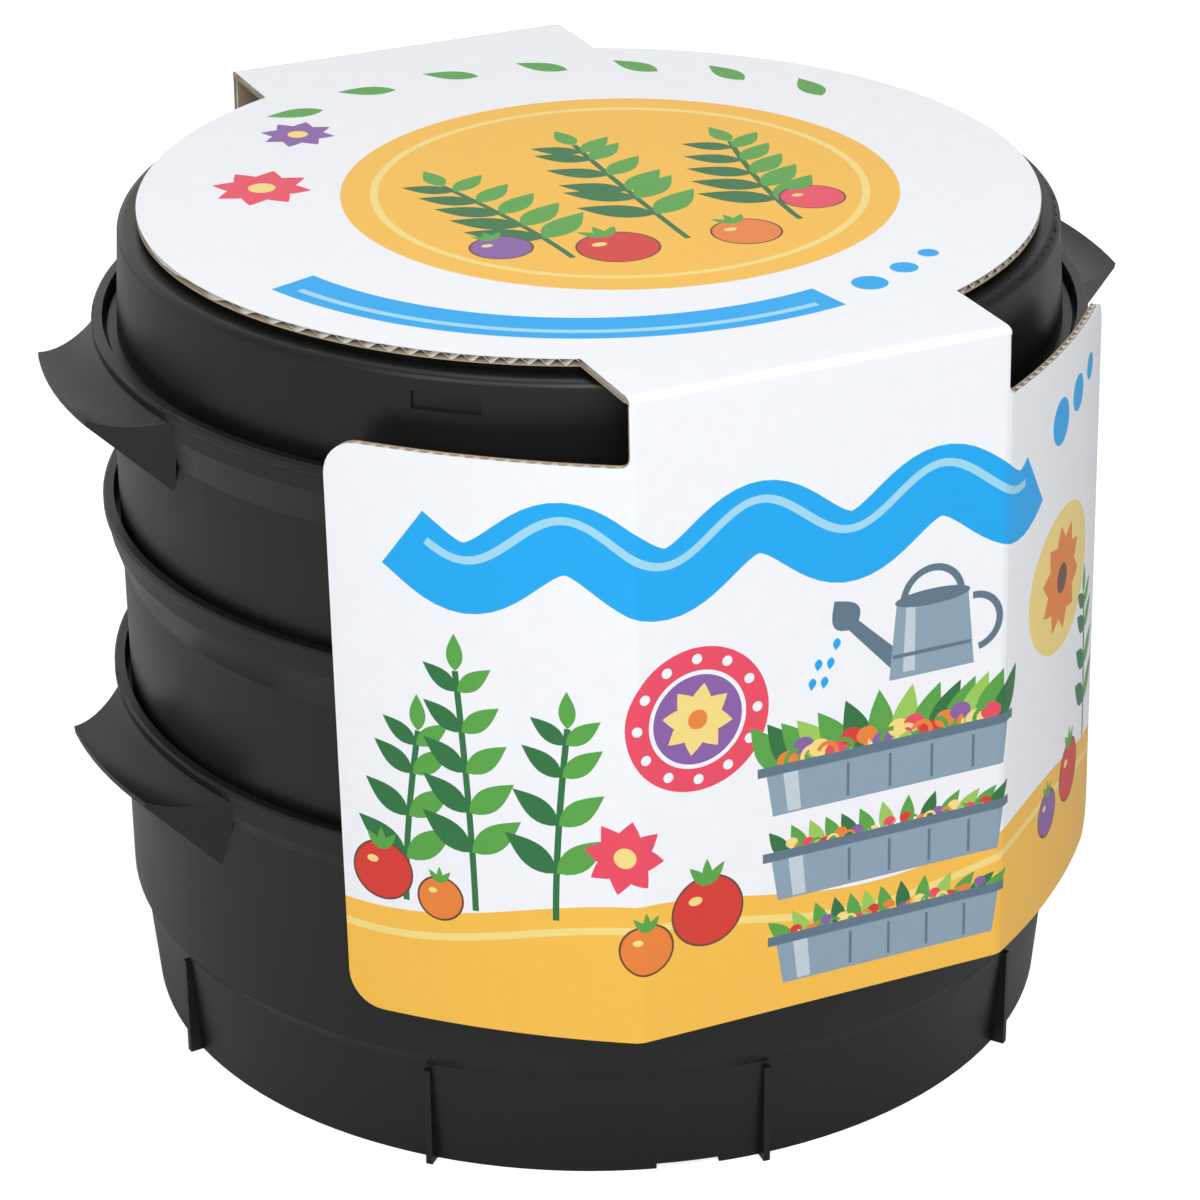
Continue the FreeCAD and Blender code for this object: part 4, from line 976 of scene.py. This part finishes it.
class WORMBIN_OT_sleeve_panels(bpy.types.Operator):
    """Builds the front and back panels of the sleeve and their creases"""

    bl_idname = "wormbin.sleeve_panels"
    bl_label = "Sleeve panels"

    def execute(self, context):
        table = bend_table()
        board = settings().board
        sides = (
            ("front", False, board.front_reach, front_print()),
            ("back", True, board.back_reach, back_print()),
        )
        for side, turned, reach, layers in sides:
            place = panel_placer(table, turned)
            piece = board_piece(
                f"sleeve_{side}_board",
                panel_outline(reach),
                layers,
                panel_cuts(reach),
                panel_columns(reach),
                place,
                board_materials(),
            )
            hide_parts(f"sleeve_{side}_panel")
            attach(piece, f"{side}_panel")
            crease, start, finish = crease_piece(
                f"sleeve_{side}_crease", place, turned, board_materials()
            )
            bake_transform(crease)
        return {"FINISHED"}


class WORMBIN_OT_stack_finish(bpy.types.Operator):
    """Gives the collector, the trays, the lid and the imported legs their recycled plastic"""

    bl_idname = "wormbin.stack_finish"
    bl_label = "Stack finish"

    def execute(self, context):
        finish = settings().finish
        colour = tuple(finish.bin_black)
        black = moulded_polypropylene("recycled_polypropylene_moulded", colour, 0.36, 1.3)
        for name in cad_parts:
            if name.startswith(("collector_", "lower_", "upper_", "lid", "leg_")):
                give_material(name, black)
        return {"FINISHED"}


class WORMBIN_OT_tap_finish(bpy.types.Operator):
    """Gives the tap its glossy plastic and its rubber"""

    bl_idname = "wormbin.tap_finish"
    bl_label = "Tap finish"

    def execute(self, context):
        finish = settings().finish
        colour = tuple(finish.tap_black)
        glossy = moulded_polypropylene("glossy_polypropylene_moulded", colour, 0.24, 0.9)
        rubber = moulded_rubber("moulded_rubber", tuple(finish.rubber))
        for name in ("tap_body", "tap_handle", "tap_nut"):
            give_material(name, glossy)
        for name in ("tap_seal_ring", "tap_outer_washer", "tap_inner_washer"):
            give_material(name, rubber)
        return {"FINISHED"}


# Bedding block: its edges are rubbed down, and fibre crumbs off its faces
BLOCK_CUTS = 39  # across each face
EDGE_WEAR = 1.6 * MM
EDGE_WEAR_REACH = 2.2 * MM
CRUMB_DEPTH = 0.7 * MM
CRUMBS_PER_METRE = 260
DEEPEST_WEAR = 3.2 * MM


class WORMBIN_OT_bedding(bpy.types.Operator):
    """Builds the pressed bedding block and finishes its paper band"""

    bl_idname = "wormbin.bedding"
    bl_label = "Bedding block"

    def execute(self, context):
        finish = settings().finish
        low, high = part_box("bedding_block")
        middle = (low + high) / 2
        half = (high - low) / 2
        work = bmesh.new()
        bmesh.ops.create_cube(work, size=2.0)
        bmesh.ops.subdivide_edges(work, edges=work.edges, cuts=BLOCK_CUTS, use_grid_fill=True)
        for vert in work.verts:
            unit = vert.co.copy()
            point = Vector([middle[axis] + half[axis] * unit[axis] for axis in range(3)])
            near = [half[axis] * (1 - abs(unit[axis])) for axis in range(3)]
            edge = sorted(near)[1]
            outward = Vector([part if abs(part) > 0.999 else 0.0 for part in unit]).normalized()
            worn = EDGE_WEAR * math.exp(-edge / EDGE_WEAR_REACH)
            crumb = CRUMB_DEPTH * (1 + noise.fractal(point * CRUMBS_PER_METRE, 0.8, 2.0, 4))
            sunk = min(max(worn + crumb, 0.0), DEEPEST_WEAR)
            vert.co = point - outward * sunk
            vert.co.z = max(vert.co.z, low.z)
        coir = pressed_coir("pressed_coir", tuple(finish.coir))
        piece = smooth_piece("bedding_block_pressed", work, [coir], 60)
        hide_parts("bedding_block")
        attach(piece, "upper_tray")
        give_material("bedding_band", kraft_paper("amber_kraft_band", tuple(finish.band), 1.5))
        return {"FINISHED"}


# Leaflet: four leaves, each a little shorter and further in than the one below
LEAVES = 4
LEAF_SKIN = 0.16 * MM
LEAF_PITCH = 0.5 * MM  # from leaf to leaf
LEAF_BEND = 0.07 * MM  # how far each leaf arches over the one below
LEAF_NEAR_STEP = 0.3 * MM
LEAF_FAR_STEP = 0.2 * MM
LEAF_END_STEP = 0.192 * MM
LEAF_COLUMNS = 24


class WORMBIN_OT_leaflet(bpy.types.Operator):
    """Builds the folded leaflet from four leaves"""

    bl_idname = "wormbin.leaflet"
    bl_label = "Leaflet"

    def execute(self, context):
        finish = settings().finish
        low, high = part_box("leaflet")
        work = bmesh.new()
        for leaf in range(LEAVES):
            base = low.z + LEAF_SKIN / 2 + leaf * LEAF_PITCH
            near = low.y + LEAF_NEAR_STEP * leaf
            far = high.y - LEAF_FAR_STEP * leaf
            length = high.x - low.x - LEAF_END_STEP * leaf
            rows = []
            for number in range(LEAF_COLUMNS + 1):
                share = number / LEAF_COLUMNS
                x = low.x + length * share
                lift = LEAF_BEND * leaf * math.sin(math.pi * share)
                rows.append(
                    [
                        work.verts.new((x, y, min(base + lift + side, high.z)))
                        for y in (near, far)
                        for side in (0.0, LEAF_SKIN)
                    ]
                )
            for before, after in zip(rows, rows[1:]):
                for one, two in ((0, 1), (1, 3), (3, 2), (2, 0)):
                    work.faces.new((before[one], before[two], after[two], after[one]))
            for row in (rows[0], rows[-1]):
                work.faces.new((row[0], row[1], row[3], row[2]))
        paper = kraft_paper("leaflet_paper", tuple(finish.paper), 1.2)
        piece = smooth_piece("leaflet_folded", work, [paper])
        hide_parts("leaflet")
        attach(piece, "upper_tray")
        return {"FINISHED"}


# Studio
FLOOR_SIZE = 6.0
FLOOR_GAP = 0.2 * MM
FLOOR_GLOW = 0.75  # of the floor's own light, which only the camera sees
FRONT_STRENGTH = 0.28  # of the room's front and sides in glossy surfaces
BACKDROP_EDGE = 0.2  # where the backdrop starts: 0 is at the side, 1 straight behind
LIGHT_TARGET = (0, 0, 0.22)

# Camera of the photo, fitted to the stack's rims, foot and folds
SENSOR_WIDTH = 36
PHOTO_WIDTH = 1200  # pixels
FOCAL_LENGTH = 3988.3  # pixels
CAMERA_PLACE = (0, -1.9172, 1.1253)
CAMERA_PITCH = 0.449  # radians, as are the next two
CAMERA_YAW = 0.002
CAMERA_ROLL = -0.010
VIEW_TURN = -24.2  # degrees about the vertical, from straight in front


def soft_light(name, place, width, height, power):
    """A large rectangular lamp that points at the stack."""
    lamp = bpy.data.lights.new(name, "AREA")
    lamp.shape = "RECTANGLE"
    lamp.size = width
    lamp.size_y = height
    lamp.energy = power
    holder = bpy.data.objects.new(name, lamp)
    bpy.context.scene.collection.objects.link(holder)
    holder.location = place
    holder.rotation_mode = "QUATERNION"
    holder.rotation_quaternion = (Vector(LIGHT_TARGET) - Vector(place)).to_track_quat("-Z", "Y")


def white_room(studio):
    """An even room that the camera sees as white and that glossy surfaces see as a backdrop."""
    world = bpy.data.worlds.new("white_room")
    world.use_nodes = True
    room = world.node_tree
    room.nodes.clear()
    rays = new_node(room, "ShaderNodeLightPath")
    way = new_node(room, "ShaderNodeTexCoord").outputs["Generated"]
    behind = new_node(room, "ShaderNodeSeparateXYZ", {"Vector": way}).outputs["Y"]
    backdrop = ranged(room, behind, FRONT_STRENGTH, studio.backdrop, BACKDROP_EDGE)
    mirrored = ranged(room, rays.outputs["Is Glossy Ray"], studio.room, backdrop)
    strength = ranged(room, rays.outputs["Is Camera Ray"], mirrored, 1.0)
    light = new_node(room, "ShaderNodeBackground", {"Color": (1, 1, 1, 1), "Strength": strength})
    new_node(room, "ShaderNodeOutputWorld", {"Surface": light.outputs[0]})
    return world


def photo_camera():
    """The camera of the photo: its view angle, its place and its direction."""
    camera = bpy.data.cameras.new("camera")
    camera.sensor_width = SENSOR_WIDTH
    camera.lens = SENSOR_WIDTH * FOCAL_LENGTH / PHOTO_WIDTH
    camera.clip_start = 0.05
    camera.clip_end = 50
    holder = bpy.data.objects.new("camera", camera)
    bpy.context.scene.collection.objects.link(holder)
    level = math.cos(CAMERA_PITCH)
    aside = math.sin(CAMERA_YAW)
    onward = math.cos(CAMERA_YAW)
    ahead = Vector((aside * level, onward * level, -math.sin(CAMERA_PITCH)))
    right = Vector((onward, -aside, 0))
    above = right.cross(ahead)
    tilted_right = right * math.cos(CAMERA_ROLL) + above * math.sin(CAMERA_ROLL)
    tilted_above = above * math.cos(CAMERA_ROLL) - right * math.sin(CAMERA_ROLL)
    facing = Matrix((tilted_right, tilted_above, -ahead)).transposed()
    turn = Matrix.Rotation(math.radians(VIEW_TURN), 3, "Z")
    holder.matrix_world = Matrix.Translation(turn @ Vector(CAMERA_PLACE)) @ (turn @ facing).to_4x4()
    return holder


class WORMBIN_OT_stage(bpy.types.Operator):
    """Sets the pale floor, the soft lights, the white room and the camera"""

    bl_idname = "wormbin.stage"
    bl_label = "Stage"

    def execute(self, context):
        studio = settings().studio
        scene = context.scene
        scene.view_settings.view_transform = "Standard"

        work = bmesh.new()
        bmesh.ops.create_grid(work, x_segments=1, y_segments=1, size=FLOOR_SIZE)
        mesh = bpy.data.meshes.new("floor")
        work.to_mesh(mesh)
        work.free()
        material, tree, shader = new_material("pale_studio_floor")
        ray = new_node(tree, "ShaderNodeLightPath").outputs["Is Camera Ray"]
        glow = calculated(tree, "MULTIPLY", ray, FLOOR_GLOW)
        fill(tree, shader, {"Base Color": (*linear("#C4C4C4"), 1), "Roughness": 0.9})
        fill(tree, shader, {"Emission Color": (1, 1, 1, 1), "Emission Strength": glow})
        floor = new_piece("floor", mesh, [material])
        floor.location.z = -FLOOR_GAP

        scene.world = white_room(studio)
        soft_light("key_light", (-0.5, -2.4, 1.9), 1.8, 1.8, studio.key)
        soft_light("top_light", (0.38, 0.19, 4.38), 3.06, 3.06, studio.top)
        soft_light("side_light", (-2.0, -1.2, 1.7), 1.2, 1.8, studio.side)
        scene.camera = photo_camera()
        return {"FINISHED"}


class WORMBIN_PT_panel(bpy.types.Panel):
    """Lists the steps that build the looks of the worm bin"""

    bl_idname = "WORMBIN_PT_panel"
    bl_label = "Worm bin"
    bl_space_type = "VIEW_3D"
    bl_region_type = "UI"
    bl_category = "Worm bin"

    def draw(self, context):
        for step in STEPS:
            self.layout.operator(step.bl_idname)
        for group in (settings().board, settings().finish, settings().studio):
            box = self.layout.box()
            for name in group.__annotations__:
                box.prop(group, name)


STEPS = (
    WORMBIN_OT_sleeve_top,
    WORMBIN_OT_sleeve_panels,
    WORMBIN_OT_stack_finish,
    WORMBIN_OT_tap_finish,
    WORMBIN_OT_bedding,
    WORMBIN_OT_leaflet,
    WORMBIN_OT_stage,
)
CLASSES = (BoardSettings, FinishSettings, StudioSettings, WormBinSettings, *STEPS, WORMBIN_PT_panel)


def register():
    """Registers the classes and the scene's settings."""
    for made in CLASSES:
        bpy.utils.register_class(made)
    bpy.types.Scene.worm_bin = PointerProperty(type=WormBinSettings)


def unregister():
    """Takes the settings and classes away again."""
    del bpy.types.Scene.worm_bin
    for made in reversed(CLASSES):
        bpy.utils.unregister_class(made)


def main():
    """Runs every step."""
    register()
    bpy.ops.wormbin.sleeve_top()
    bpy.ops.wormbin.sleeve_panels()
    bpy.ops.wormbin.stack_finish()
    bpy.ops.wormbin.tap_finish()
    bpy.ops.wormbin.bedding()
    bpy.ops.wormbin.leaflet()
    bpy.ops.wormbin.stage()
    bpy.context.view_layer.update()


if __name__ == "__main__":
    main()
